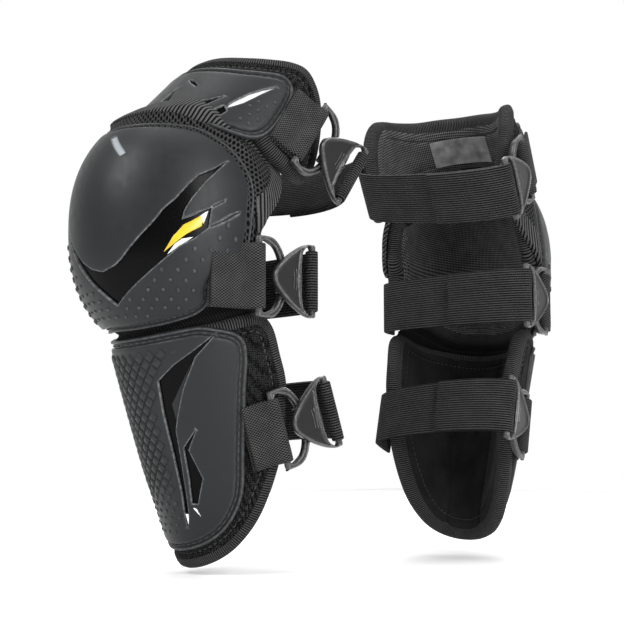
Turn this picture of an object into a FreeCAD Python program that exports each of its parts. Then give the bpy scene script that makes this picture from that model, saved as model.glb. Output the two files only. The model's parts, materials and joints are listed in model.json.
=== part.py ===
# A pair of motorcycle knee guards, each made of three hinged, padded sections with hard shells.
# The origin is the left knee's bending centre: +X to the wearer's left, -Y to the front, +Z up.
# Each section is an open elliptical tube round the leg, drawn in a frame that tilts with it.
import FreeCAD
import Part
import Sketcher
import os
from math import cos, sin, radians

V = FreeCAD.Vector
DOC = FreeCAD.newDocument("knee_guards")

# ---------------------------------------------------------------- driving dimensions (mm, degrees)
SIZES = {
    "thigh_tilt": 33, "shin_tilt": 18,
    "right_offset_x": -10, "right_offset_y": 263, "right_offset_z": 6, "right_turn": 204,
    "shell_wall": 3, "pad_wall": 9, "liner_wall": 3.5, "gusset_wall": 2, "inlay_wall": 1.6,
    "label_wall": 0.8,
    "thigh_low": 40, "thigh_mid": 84, "thigh_high": 128,
    "thigh_low_width": 62, "thigh_mid_width": 60.5, "thigh_high_width": 58,
    "thigh_low_depth": 66.5, "thigh_mid_depth": 58, "thigh_high_depth": 51,
    "shin_high": -40, "shin_mid": -110, "shin_low": -225,
    "shin_high_width": 57.5, "shin_mid_width": 51, "shin_low_width": 41,
    "shin_high_depth": 64.5, "shin_mid_depth": 66, "shin_low_depth": 63,
    "cup_width": 64, "cup_depth": 78, "cup_top": 80, "cup_bottom": 82,
    "thigh_strap_z": 76, "knee_strap_z": -35, "shin_strap_z": -132,
    "web_width": 40, "web_wall": 3.2, "strap_width": 38, "strap_wall": 2.4,
    "bar_radius": 2.2, "bar_clearance": 0.05, "loop_wall": 1.5,
    "ring_length": 21, "ring_width": 50, "ring_wall": 4,
    "hook_bar_reach": 41, "hook_wall": 4.2, "hook_rise": 5.25, "hook_width": 46,
}
sheet = DOC.addObject("Spreadsheet::Sheet", "sizes")
for row, (alias, value) in enumerate(SIZES.items(), start=1):
    sheet.set("A%d" % row, alias)
    sheet.set("B%d" % row, str(value))
    sheet.setAlias("B%d" % row, alias)
DOC.recompute()


def size(alias):
    return float(getattr(sheet, alias))


# ---------------------------------------------------------------- frames
def tilted(angle):
    return FreeCAD.Placement(V(0, 0, 0), FreeCAD.Rotation(V(1, 0, 0), angle))


KNEE = tilted(0)
THIGH = tilted(-size("thigh_tilt"))
SHIN = tilted(size("shin_tilt"))

# ---------------------------------------------------------------- shared sketch and feature helpers
REACH = 400
CUT_LENGTH = 2 * REACH


def sketch_on(body, role, name, level=None):
    sketch = body.newObject("Sketcher::SketchObject", name)
    plane = next(f for f in body.Origin.OriginFeatures if f.Role == role)
    sketch.AttachmentSupport = [(plane, "")]
    sketch.MapMode = "FlatFace"
    if isinstance(level, str):
        sketch.setExpression("AttachmentOffset.Base.z", "sizes." + level)
    elif level is not None:
        sketch.AttachmentOffset = FreeCAD.Placement(V(0, 0, level), FreeCAD.Rotation())
    return sketch


def draw_polygon(sketch, points):
    for here, there in zip(points, points[1:] + points[:1]):
        sketch.addGeometry(Part.LineSegment(V(*here, 0), V(*there, 0)), False)


def draw_smooth(sketch, points):
    curve = Part.BSplineCurve()
    curve.interpolate(Points=[V(a, b, 0) for a, b in points], PeriodicFlag=True)
    sketch.addGeometry(curve, False)


def draw_ellipse(sketch, width, depth):
    if depth > width:
        ellipse = Part.Ellipse(V(0, depth, 0), V(-width, 0, 0), V(0, 0, 0))
    else:
        ellipse = Part.Ellipse(V(width, 0, 0), V(0, depth, 0), V(0, 0, 0))
    sketch.addGeometry(ellipse, False)


def new_body(label, frame):
    body = DOC.addObject("PartDesign::Body", label)
    body.Label = label
    body.Placement = frame
    return body


def finish_pad(body, sketch, name, length_expression):
    pad = body.newObject("PartDesign::Pad", name)
    pad.Profile = sketch
    pad.Midplane = True
    pad.setExpression("Length", length_expression)
    return pad


def cut_through(body, sketch, name):
    pocket = body.newObject("PartDesign::Pocket", name)
    pocket.Profile = sketch
    pocket.Midplane = True
    pocket.Length = CUT_LENGTH
    return pocket


def keep_inside(body, role, points, smooth=True):
    """Cuts away everything outside an outline that is drawn on one of the body's origin planes."""
    sketch = sketch_on(body, role, "outline")
    draw_polygon(sketch, [(-REACH, -REACH), (REACH, -REACH), (REACH, REACH), (-REACH, REACH)])
    (draw_smooth if smooth else draw_polygon)(sketch, points)
    cut_through(body, sketch, "trim")


def cut_window(body, role, points, smooth=False):
    sketch = sketch_on(body, role, "window")
    (draw_smooth if smooth else draw_polygon)(sketch, points)
    cut_through(body, sketch, "window_cut")


def cut_box(body, low, high):
    """Cuts away the plan rectangle between two (x, y) corners at every height."""
    sketch = sketch_on(body, "XY_Plane", "cut_plan")
    draw_polygon(sketch, [low, (high[0], low[1]), high, (low[0], high[1])])
    cut_through(body, sketch, "plan_cut")


REAR = ((-REACH, 0), (REACH, REACH))
INNER_SIDE = ((-REACH, -REACH), (0, REACH))


# ---------------------------------------------------------------- the sections' curved layers
def section_levels(section, offset):
    """A section's levels, each a height and the half width and half depth of an ellipse there."""
    if section == "cup":
        return cup_levels(offset)
    names = {"thigh": ("thigh_low", "thigh_mid", "thigh_high"),
             "shin": ("shin_high", "shin_mid", "shin_low")}[section]
    return [(n, size(n + "_width") + offset, size(n + "_depth") + offset) for n in names]


CUP_STEPS = (0.15, 0.45, 0.72, 0.9, 0.975)
CUP_TOP_FULLNESS = 2.2
CUP_BOTTOM_FULLNESS = 2.4


def cup_scale(share, fullness):
    return (1 - share ** fullness) ** (1 / fullness)


def cup_levels(offset):
    """The knee cup is a superellipsoid: its sections shrink towards its top and its bottom."""
    width, depth = size("cup_width") + offset, size("cup_depth") + offset
    levels = []
    for share in reversed(CUP_STEPS):
        scale = cup_scale(share, CUP_BOTTOM_FULLNESS)
        levels.append((-share * (size("cup_bottom") + offset), width * scale, depth * scale))
    for share in CUP_STEPS:
        scale = cup_scale(share, CUP_TOP_FULLNESS)
        levels.append((share * (size("cup_top") + offset), width * scale, depth * scale))
    return levels


def loft(body, kind, name, levels):
    sketches = []
    for level, width, depth in levels:
        sketch = sketch_on(body, "XY_Plane", name + "_level", level)
        draw_ellipse(sketch, width, depth)
        sketches.append(sketch)
    feature = body.newObject("PartDesign::" + kind, name)
    feature.Profile = sketches[0]
    feature.Sections = sketches[1:]


def layer(label, frame, section, outside, inside, outline, role="YZ_Plane", smooth=True):
    """A curved sheet between two offsets of a section's surface, cut to an outline."""
    body = new_body(label, frame)
    loft(body, "AdditiveLoft", "outer", section_levels(section, outside))
    loft(body, "SubtractiveLoft", "inner", section_levels(section, inside))
    keep_inside(body, role, outline, smooth)
    return body


def trim_by_section(body, section, offset):
    loft(body, "SubtractiveLoft", "seat", section_levels(section, offset))


def shrink(outline, margin):
    """Moves an outline's points towards its middle by a margin along each axis."""
    middle = [sum(p[k] for p in outline) / len(outline) for k in (0, 1)]
    return [tuple(p[k] - margin * (1 if p[k] > middle[k] else -1) for k in (0, 1)) for p in outline]


# Offsets from the pads' outer face: the shell is outside it, the pad and the liner inside.
WALL = size("shell_wall")
PAD_INNER = -size("pad_wall")
LINER_INNER = PAD_INNER - size("liner_wall")
LABEL_INNER = LINER_INNER - size("label_wall")
GUSSET_INNER = LINER_INNER - size("gusset_wall")
INLAY = size("inlay_wall")
LINER_MARGIN = 3
SEAM_GAP = 0.4

# Side outlines, (y, z) in each section's own frame.
THIGH_PAD = [(-90, 57), (-55, 56), (-31, 57), (-19, 53), (-7, 49), (9, 48.5), (24, 50), (31.5, 60),
             (29, 78), (14, 101), (2, 111), (-11, 117.5), (-23, 116), (-36, 110), (-50, 104), (-90, 101)]
THIGH_SHELL = [(-90, 44), (-60, 45), (-40, 48), (-28, 52), (-19, 55), (-13.5, 60), (-11.5, 70),
               (-12, 86), (-14, 95), (-19.5, 100), (-28, 100), (-38, 95), (-45, 91), (-56, 89),
               (-90, 89)]
CUP_RIM = [(-100, -69.5), (-50, -69.5), (-36, -66.5), (-24, -61), (-17, -55.5), (-18, -49.5), (-17, -43),
           (-10, -36), (0, -31), (4.5, -21), (7.5, 0), (10, 18), (8, 30), (2, 41), (-8, 52),
           (-24, 59), (-60, 60), (-100, 60)]
KNEE_PAD = [(-100, -62), (-40, -61), (-22, -50), (0, -45), (17, -41), (22, -22), (17, -4),
            (23, 18), (24, 34), (8, 43.5), (-8, 60), (-26, 70), (-100, 70)]
KNEE_COLLAR = [(-100, 67), (-24, 67), (-10, 64.5), (4, 59), (14, 48.5), (26, 35.5), (27, 22), (17, 2),
               (10, -9), (9.5, -23), (4, -34), (-6, -43), (-16, -48), (-40, -30), (-100, -30)]
SHIN_PAD = [(-90, -59), (-55, -59), (-41, -59), (-29, -57), (-15, -56), (0, -61), (8.5, -73),
            (10.5, -95), (6, -120), (-4.5, -148.5), (-19, -170.5), (-37, -190), (-48, -197.5),
            (-59, -202), (-90, -204)]
SHIN_SHELL = [(-90, -56), (-61, -56.5), (-41, -57.5), (-31, -60.5), (-20.5, -66), (-15.5, -73),
              (-16, -84), (-20, -98), (-25, -119.5), (-30, -140), (-34, -158), (-38, -168),
              (-44, -177.5), (-51.5, -184.5), (-65, -191), (-90, -192)]

UPPER_GUSSET = [(-100, 40), (-20, 38), (0, 36), (6, 42), (-4, 54), (-20, 64), (-100, 66)]
LOWER_GUSSET = [(-100, -40), (-20, -34), (4, -30), (4, -40), (-14, -50), (-30, -58), (-100, -60)]

# Front outlines, (x, z) in each section's own frame; x runs to the outer side.
KNEE_FLASH = [(0, -50), (20, -24), (50, 36), (14, 4), (0, -28), (-20, -16), (-46, -8), (-26, -30)]
KNEE_BLADE = [(41, -15), (48, -11), (57, 8), (55, 12), (48, 2)]
THIGH_LEAF = [(33, 57), (42, 64), (54, 88), (48, 83), (38, 68)]
SHIN_SLOT = [(43, -70), (22.5, -84), (20.5, -103), (20, -128), (15, -175.5), (18, -169.5),
             (23, -135), (25, -115), (34, -91.5)]
LABEL = [(-22, 68), (22, 68), (22, 90), (-22, 90)]


def inlaid_shell(label, frame, section, outline, windows):
    base = {"cup": -WALL, "thigh": 0, "shin": 0}[section]
    body = layer(label, frame, section, base + WALL, base, outline)
    for window in windows:
        cut_window(body, "XZ_Plane", window)
    return body


def gusset(label, outline):
    """Stretch fabric behind the knee's liner, across the bend to the next section."""
    return layer(label, KNEE, "cup", LINER_INNER - WALL - SEAM_GAP, GUSSET_INNER - WALL, outline,
                 smooth=False)


def inlay(label, frame, section, window):
    base = {"cup": -WALL, "thigh": 0, "shin": 0}[section]
    body = layer(label, frame, section, base + INLAY, base, window, "XZ_Plane", smooth=False)
    cut_box(body, *REAR)
    return body


# ---------------------------------------------------------------- webbing, straps and buckles
# Each strap line: the section, its height, the ring bar's (x, y), the hardware's inward turn, the
# webbing's front edge, and how far back the inner side's pad reaches at that height.
STRAPS = {
    "thigh": {"frame": THIGH, "section": "thigh", "level": "thigh_strap_z",
              "bar": (66, 9), "turn": 8, "web_front": -11, "pad_rear": 30},
    "knee": {"frame": KNEE, "section": "cup", "level": "knee_strap_z",
             "bar": (65.5, 10), "turn": 8, "web_front": -16, "pad_rear": 22},
    "shin": {"frame": SHIN, "section": "shin", "level": "shin_strap_z",
             "bar": (55.5, -8), "turn": 4, "web_front": -22.5, "pad_rear": 9},
}
HOLE = size("bar_radius") + size("bar_clearance")
LOOP = HOLE + size("loop_wall")


def bar_frame(line, along=0, outward=0):
    """A frame at the ring's bar: +Y runs along the strap, +X away from the leg."""
    at = FreeCAD.Placement(V(*line["bar"], size(line["level"])),
                           FreeCAD.Rotation(V(0, 0, 1), line["turn"]))
    step = FreeCAD.Placement(V(outward, along, 0), FreeCAD.Rotation())
    return line["frame"].multiply(at).multiply(step)


def hook_bar(line):
    """The hook bar's place in the section's own plan."""
    turn = radians(line["turn"])
    along, out = size("hook_bar_reach"), size("hook_rise")
    return (line["bar"][0] + out * cos(turn) - along * sin(turn),
            line["bar"][1] + out * sin(turn) + along * cos(turn))


def anchor(name, line):
    """Short webbing: stitched flat on the pad's outer face, with a loop round the ring's bar."""
    level = size(line["level"])
    half = size("web_width") / 2
    front, rear = line["web_front"], line["bar"][1] - LOOP
    tab = [(front, level - half), (rear, level - half), (rear, level + half), (front, level + half)]
    body = layer(name + "_anchor", line["frame"], line["section"], size("web_wall"), 0,
                 tab, smooth=False)
    cut_box(body, *INNER_SIDE)
    x, y = line["bar"]
    plan = sketch_on(body, "XY_Plane", "loop_plan", line["level"])
    draw_polygon(plan, [(x - LOOP, y - LOOP - 5), (x, y - LOOP - 5), (x + LOOP, y - 1),
                        (x + LOOP, y + LOOP), (x - LOOP, y + LOOP)])
    plan.addGeometry(Part.Circle(V(x, y, 0), V(0, 0, 1), HOLE), False)
    finish_pad(body, plan, "loop", "sizes.web_width")
    trim_by_section(body, line["section"], 0)
    return body


def rounded_bar(body, along, out, length_alias):
    """A round bar along Z, through (out, along) in the buckle's own plan."""
    plan = sketch_on(body, "XY_Plane", "bar_plan")
    plan.addGeometry(Part.Circle(V(out, along, 0), V(0, 0, 1), size("bar_radius")), False)
    plan.addConstraint(Sketcher.Constraint("Radius", 0, size("bar_radius")))
    plan.setExpression("Constraints[0]", "sizes.bar_radius")
    finish_pad(body, plan, "bar", "sizes." + length_alias)


def plate(body, outline, windows, thickness_alias, out=0):
    """A flat plate in the (along, up) plane whose middle is a distance out from the ring bar."""
    side = sketch_on(body, "YZ_Plane", "plate_side", out)
    for loop in [outline] + windows:
        draw_polygon(side, loop)
    finish_pad(body, side, "plate", "sizes." + thickness_alias)


def box_outline(low_along, high_along, half):
    return [(low_along, -half), (high_along, -half), (high_along, half), (low_along, half)]


ARM = 4
CORNER = 6
WEB_WINDOW_END = 9
CLAW_WINDOW = (12.5, 18)
HOOK_TIP = 8
HOOK_SHOULDER = 30
SLOT_LIP = 0.6


def ring(name, line):
    """Receiver ring: a round bar, two arms and a crossbar with a window for the hook's claw."""
    body = new_body(name + "_ring", bar_frame(line))
    half, length = size("ring_width") / 2, size("ring_length")
    outline = [(0, -half), (length - CORNER, -half), (length, CORNER - half),
               (length, half - CORNER), (length - CORNER, half), (0, half)]
    windows = [box_outline(1, WEB_WINDOW_END, half - ARM),
               box_outline(*CLAW_WINDOW, half - 2 * ARM)]
    plate(body, outline, windows, "ring_wall")
    rounded_bar(body, 0, 0, "ring_width")
    return body


def hook(name, line):
    """Hook buckle: a round-nosed triangle with a claw in front and the strap's bar behind."""
    body = new_body(name + "_hook", bar_frame(line))
    reach, rise = size("hook_bar_reach"), size("hook_rise")
    half, nose = size("hook_width") / 2, size("hook_width") / 5
    outline = [(HOOK_TIP + 3, -nose), (HOOK_SHOULDER, -half), (reach, -half), (reach, half),
               (HOOK_SHOULDER, half), (HOOK_TIP + 3, nose), (HOOK_TIP, nose / 2),
               (HOOK_TIP, -nose / 2)]
    slot = box_outline(reach - 8, reach - SLOT_LIP, half - ARM + 0.5)
    plate(body, outline, [slot], "hook_wall", rise)
    rounded_bar(body, reach, rise, "hook_width")
    claw = sketch_on(body, "XY_Plane", "claw_plan")
    draw_polygon(claw, [(rise, 13.8), (rise, 16.8), (-1.2, 16.6), (-1.2, 14.6)])
    finish_pad(body, claw, "claw", "sizes.web_width / 2")
    return body


def half_sizes(section, height):
    """Half width and half depth of a pad's outer face at a height in its section's own frame."""
    if section == "cup":
        share = height / size("cup_top") if height > 0 else -height / size("cup_bottom")
        scale = cup_scale(share, CUP_TOP_FULLNESS if height > 0 else CUP_BOTTOM_FULLNESS)
        return size("cup_width") * scale, size("cup_depth") * scale
    levels = [(size(n), wide, deep) for n, wide, deep in section_levels(section, 0)]
    levels.sort()
    for (low, w_low, d_low), (high, w_high, d_high) in zip(levels, levels[1:]):
        if height <= high:
            break
    share = (height - low) / (high - low)
    return w_low + share * (w_high - w_low), d_low + share * (d_high - d_low)


STRAP_GAP = 0.8
SEWN_LENGTH = 22
SEWN_STEPS = 6
BOW_STEPS = 9


def strap_route(line):
    """The elastic's middle line in plan, from its sewn end to the hook's bar."""
    level, half_band = size(line["level"]), size("strap_width") / 2
    wide, deep = max(half_sizes(line["section"], level + edge) for edge in (-half_band, half_band))
    out = STRAP_GAP + size("strap_wall") / 2
    rear = line["pad_rear"]
    route = []
    for step in range(SEWN_STEPS):
        y = rear - SEWN_LENGTH * (1 - step / (SEWN_STEPS - 1))
        route.append((-(wide + out) * (1 - (y / (deep + out)) ** 2) ** 0.5, y))
    start, end = route[-1], hook_bar(line)
    first = (start[0] + 3, start[1] + 17)
    last = (end[0] - 22, end[1] + 12)
    for step in range(1, BOW_STEPS):
        t = step / (BOW_STEPS - 1)
        weights = ((1 - t) ** 3, 3 * t * (1 - t) ** 2, 3 * t * t * (1 - t), t ** 3)
        corners = (start, first, last, end)
        route.append(tuple(sum(w * c[k] for w, c in zip(weights, corners)) for k in (0, 1)))
    return route


def band_outline(route, wall):
    """Both edges of a band of even thickness along a route."""
    left, right = [], []
    for i, (x, y) in enumerate(route):
        before, after = route[max(i - 1, 0)], route[min(i + 1, len(route) - 1)]
        run = V(after[0] - before[0], after[1] - before[1], 0).normalize()
        left.append((x - run.y * wall / 2, y + run.x * wall / 2))
        right.append((x + run.y * wall / 2, y - run.x * wall / 2))
    return left + right[::-1]


def strap(name, line):
    """Elastic: a sewn end on the inner side, a bowed run behind the leg, a loop on the hook."""
    body = new_body(name + "_strap", line["frame"])
    x, y = hook_bar(line)
    plan = sketch_on(body, "XY_Plane", "band_plan", line["level"])
    draw_polygon(plan, band_outline(strap_route(line), size("strap_wall")))
    finish_pad(body, plan, "band", "sizes.strap_width")
    eye = sketch_on(body, "XY_Plane", "eye_plan", line["level"])
    eye.addGeometry(Part.Circle(V(x, y, 0), V(0, 0, 1), LOOP), False)
    finish_pad(body, eye, "eye", "sizes.strap_width")
    hole = sketch_on(body, "XY_Plane", "hole_plan", line["level"])
    hole.addGeometry(Part.Circle(V(x, y, 0), V(0, 0, 1), HOLE), False)
    cut_through(body, hole, "eye_hole")
    return body


# ---------------------------------------------------------------- the left guard
def left_guard():
    thigh_shell = inlaid_shell("thigh_shell", THIGH, "thigh", THIGH_SHELL, [THIGH_LEAF])
    knee_cup = inlaid_shell("knee_cup", KNEE, "cup", CUP_RIM, [KNEE_FLASH, KNEE_BLADE])
    shin_shell = inlaid_shell("shin_shell", SHIN, "shin", SHIN_SHELL, [SHIN_SLOT])
    knee_collar = layer("knee_collar", KNEE, "cup", 0, -WALL, KNEE_COLLAR, smooth=False)
    cut_window(knee_collar, "YZ_Plane", shrink(CUP_RIM, -SEAM_GAP), smooth=True)
    pieces = [
        layer("thigh_pad", THIGH, "thigh", 0, PAD_INNER, THIGH_PAD),
        layer("thigh_liner", THIGH, "thigh", PAD_INNER, LINER_INNER,
              shrink(THIGH_PAD, LINER_MARGIN)),
        thigh_shell,
        inlay("thigh_leaf", THIGH, "thigh", THIGH_LEAF),
        layer("knee_pad", KNEE, "cup", -WALL, PAD_INNER - WALL, KNEE_PAD),
        layer("knee_liner", KNEE, "cup", PAD_INNER - WALL, LINER_INNER - WALL,
              shrink(KNEE_PAD, LINER_MARGIN)),
        knee_cup,
        knee_collar,
        inlay("knee_flash", KNEE, "cup", KNEE_FLASH),
        inlay("knee_blade", KNEE, "cup", KNEE_BLADE),
        layer("shin_pad", SHIN, "shin", 0, PAD_INNER, SHIN_PAD),
        layer("shin_liner", SHIN, "shin", PAD_INNER, LINER_INNER, shrink(SHIN_PAD, LINER_MARGIN)),
        shin_shell,
        inlay("shin_slot", SHIN, "shin", SHIN_SLOT),
        gusset("upper_gusset", UPPER_GUSSET),
        gusset("lower_gusset", LOWER_GUSSET),
    ]
    label = layer("thigh_label", THIGH, "thigh", LINER_INNER, LABEL_INNER, LABEL, "XZ_Plane", False)
    cut_box(label, *REAR)
    pieces.append(label)
    for name, line in STRAPS.items():
        pieces += [anchor(name, line), ring(name, line), hook(name, line), strap(name, line)]
    return pieces


# ---------------------------------------------------------------- the right guard: a mirror image
RIGHT = FreeCAD.Placement(V(size("right_offset_x"), size("right_offset_y"), size("right_offset_z")),
                          FreeCAD.Rotation(V(0, 0, 1), size("right_turn")))


def mirrored(body):
    twin = DOC.addObject("Part::Mirroring", "right_" + body.Label)
    twin.Label = "right_" + body.Label
    twin.Source = body
    twin.Base = V(0, 0, 0)
    twin.Normal = V(1, 0, 0)
    twin.Placement = RIGHT
    return twin


# ---------------------------------------------------------------- build, check and write
lefts = left_guard()
DOC.recompute()
rights = [mirrored(body) for body in lefts]
DOC.recompute()
for body in lefts:
    body.Label = "left_" + body.Label

faulty = [o.Label for o in DOC.Objects if "Invalid" in o.State or "Error" in o.State]
for part in lefts + rights:
    shape = part.Shape
    if shape.isNull() or not shape.isValid() or len(shape.Solids) != 1:
        faulty.append("%s: %d solids" % (part.Label, len(shape.Solids)))
if faulty:
    raise RuntimeError("faulty objects: " + ", ".join(faulty))

os.makedirs("parts", exist_ok=True)
for part in lefts + rights:
    part.Shape.exportStep("parts/%s.step" % part.Label)
    print("%-20s %9.0f mm3" % (part.Label, part.Shape.Volume))
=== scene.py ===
import json
import math

import bpy
import numpy as np
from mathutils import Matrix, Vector
from mathutils.geometry import delaunay_2d_cdt


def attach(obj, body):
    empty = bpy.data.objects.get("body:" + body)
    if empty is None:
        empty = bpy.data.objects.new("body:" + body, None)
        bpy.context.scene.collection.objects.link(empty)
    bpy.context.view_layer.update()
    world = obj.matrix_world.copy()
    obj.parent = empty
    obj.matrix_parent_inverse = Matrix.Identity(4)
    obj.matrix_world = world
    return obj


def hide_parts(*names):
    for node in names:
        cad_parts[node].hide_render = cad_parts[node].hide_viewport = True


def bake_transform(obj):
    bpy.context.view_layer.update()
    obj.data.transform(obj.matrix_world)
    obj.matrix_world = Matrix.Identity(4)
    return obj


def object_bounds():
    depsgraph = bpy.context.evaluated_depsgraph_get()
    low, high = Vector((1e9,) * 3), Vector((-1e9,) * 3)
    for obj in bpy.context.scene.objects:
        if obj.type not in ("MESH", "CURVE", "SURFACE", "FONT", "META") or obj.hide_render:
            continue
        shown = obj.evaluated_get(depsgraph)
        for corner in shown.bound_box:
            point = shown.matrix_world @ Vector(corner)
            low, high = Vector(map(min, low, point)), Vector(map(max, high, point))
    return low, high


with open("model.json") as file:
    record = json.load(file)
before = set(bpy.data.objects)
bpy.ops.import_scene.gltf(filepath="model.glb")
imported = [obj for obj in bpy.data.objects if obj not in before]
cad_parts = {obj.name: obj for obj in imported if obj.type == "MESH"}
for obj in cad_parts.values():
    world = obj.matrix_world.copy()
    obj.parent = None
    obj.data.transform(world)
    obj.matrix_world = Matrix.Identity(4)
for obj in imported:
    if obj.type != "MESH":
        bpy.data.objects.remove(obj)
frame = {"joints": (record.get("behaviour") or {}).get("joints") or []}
cad_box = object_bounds()

# A pair of motorcycle knee guards. Sizes are in millimetres until a mesh is made.
# Each section (thigh, knee, shin) is an open elliptical tube round the leg, in its own frame.
MM = 0.001
JOINTS = {j["name"]: j for j in frame["joints"]}
SIDES = ("left", "right")


# ------------------------------------------------------------------ frames, read from the joints
def tilt_of(section):
    axis = JOINTS["left_%s_ring_swing" % section]["axis"]
    return math.atan2(axis[1], axis[2])


def turn_x(angle):
    c, s = math.cos(angle), math.sin(angle)
    return np.array([[1, 0, 0], [0, c, -s], [0, s, c]])


def turn_z(angle):
    c, s = math.cos(angle), math.sin(angle)
    return np.array([[c, -s, 0], [s, c, 0], [0, 0, 1]])


SECTION_TURN = {n: turn_x(-tilt_of(n)) for n in ("thigh", "knee", "shin")}
right_hinge = JOINTS["right_thigh_flex"]
RIGHT_TURN = turn_z(math.atan2(-right_hinge["axis"][1], -right_hinge["axis"][0]))
RIGHT_PLACE = np.array(right_hinge["pos_m"]) / MM
MIRROR = np.diag([-1.0, 1.0, 1.0])


def to_world(side, section, points):
    """Section points in mm to metres in the object's frame."""
    world = np.asarray(points, float) @ SECTION_TURN[section].T
    if side == "right":
        world = world @ MIRROR @ RIGHT_TURN.T + RIGHT_PLACE
    return world * MM


# ------------------------------------------------------------------ the sections' surfaces
# Level, half width and half depth of the pads' outer face. The knee is a superellipsoid.
TUBES = {
    "thigh": ((40, 62, 66.5), (84, 60.5, 58), (128, 58, 51)),
    "shin": ((-40, 57.5, 64.5), (-110, 51, 66), (-225, 41, 63)),
}
CUP = {"width": 61, "depth": 75, "top": 77, "bottom": 79, "top_full": 2.2, "bottom_full": 2.4}
ARC = {"thigh": 60, "knee": 70, "shin": 54}


def quadratic(levels, column, s):
    """The parabola through a tube's three levels."""
    total = 0
    for i, level in enumerate(levels):
        weight = level[column]
        for j, other in enumerate(levels):
            if i != j:
                weight = weight * (s - other[0]) / (level[0] - other[0])
        total = total + weight
    return total


def power(value, exponent):
    return np.sign(value) * np.abs(value) ** exponent


def raw_surface(section, a, s, out):
    """a: angle from the front in degrees. s: height in mm, or latitude in degrees at the knee."""
    a, s, out = np.broadcast_arrays(np.asarray(a, float), np.asarray(s, float),
                                    np.asarray(out, float))
    angle = np.radians(a)
    if section == "knee":
        lat = np.radians(s)
        full = np.where(lat > 0, CUP["top_full"], CUP["bottom_full"])
        reach = np.where(lat > 0, CUP["top"], CUP["bottom"]) + out
        ring = np.abs(np.cos(lat)) ** (2 / full)
        return np.stack([(CUP["width"] + out) * ring * np.sin(angle),
                         -(CUP["depth"] + out) * ring * np.cos(angle),
                         reach * power(np.sin(lat), 2 / full)], -1)
    wide = quadratic(TUBES[section], 1, s) + out
    deep = quadratic(TUBES[section], 2, s) + out
    return np.stack([wide * np.sin(angle), -deep * np.cos(angle), s], -1)


def knee_latitude(z, out=0):
    """The latitude in degrees of a height on the knee's surface."""
    full = CUP["top_full"] if z > 0 else CUP["bottom_full"]
    share = abs(z) / ((CUP["top"] if z > 0 else CUP["bottom"]) + out)
    return math.copysign(math.degrees(math.asin(min(share, 0.999) ** (full / 2))), z)


def flat_to_angles(section, flat):
    """Flat pattern coordinates in mm to the surface's two parameters."""
    a = flat[..., 0] / ARC[section] * 180 / math.pi
    s = flat[..., 1] / ARC[section] * 180 / math.pi if section == "knee" else flat[..., 1]
    return a, s


def surface(section, flat, out=0.0):
    """Points on a section, offset along the surface's normal; flat is (n, 2) pattern mm."""
    flat = np.asarray(flat, float)
    a, s = flat_to_angles(section, flat)
    step = 0.25
    here = raw_surface(section, a, s, 0)
    across = raw_surface(section, a + step, s, 0) - raw_surface(section, a - step, s, 0)
    up = raw_surface(section, a, s + step, 0) - raw_surface(section, a, s - step, 0)
    normal = np.cross(across, up)
    normal /= np.linalg.norm(normal, axis=-1, keepdims=True)
    return here + normal * np.asarray(out, float)[..., None]


def pattern(section, a, level):
    """Pattern coordinates of an angle in degrees and a height in mm on a section."""
    rise = math.radians(knee_latitude(level)) * ARC[section] if section == "knee" else level
    return (math.radians(a) * ARC[section], rise)


# ------------------------------------------------------------------ outlines on the flat pattern
def smooth_loop(points, step=1.2):
    """A closed Catmull-Rom curve through points, sampled about every step mm."""
    pts = np.array(points, float)
    out = []
    for i in range(len(pts)):
        p0, p1, p2, p3 = (pts[(i + k) % len(pts)] for k in (-1, 0, 1, 2))
        count = max(2, int(np.linalg.norm(p2 - p1) / step))
        for t in np.arange(count) / count:
            out.append(0.5 * (2 * p1 + (p2 - p0) * t + (2 * p0 - 5 * p1 + 4 * p2 - p3) * t ** 2
                              + (3 * p1 - p0 - 3 * p2 + p3) * t ** 3))
    return np.array(out)


def both_sides(half):
    """Mirrors a half outline that runs from the top centre to the bottom centre."""
    return list(half) + [(-x, y) for x, y in reversed(half[1:-1])]


def loop_distance(points, loop):
    """Distance to a closed loop, the nearest point on it, and whether a point is inside."""
    start, end = loop, np.roll(loop, -1, axis=0)
    run = end - start
    length2 = np.maximum((run ** 2).sum(1), 1e-12)
    best = np.full(len(points), 1e9)
    nearest = np.zeros_like(points)
    inside = np.zeros(len(points), bool)
    for a, d, l2, b in zip(start, run, length2, end):
        t = np.clip(((points - a) @ d) / l2, 0, 1)
        foot = a + t[:, None] * d
        dist = np.hypot(*(points - foot).T)
        closer = dist < best
        best[closer] = dist[closer]
        nearest[closer] = foot[closer]
        crosses = (a[1] > points[:, 1]) != (b[1] > points[:, 1])
        if d[1] != 0:
            x_at = a[0] + (points[:, 1] - a[1]) / d[1] * d[0]
            inside ^= crosses & (points[:, 0] < x_at)
    return best, nearest, inside


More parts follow.
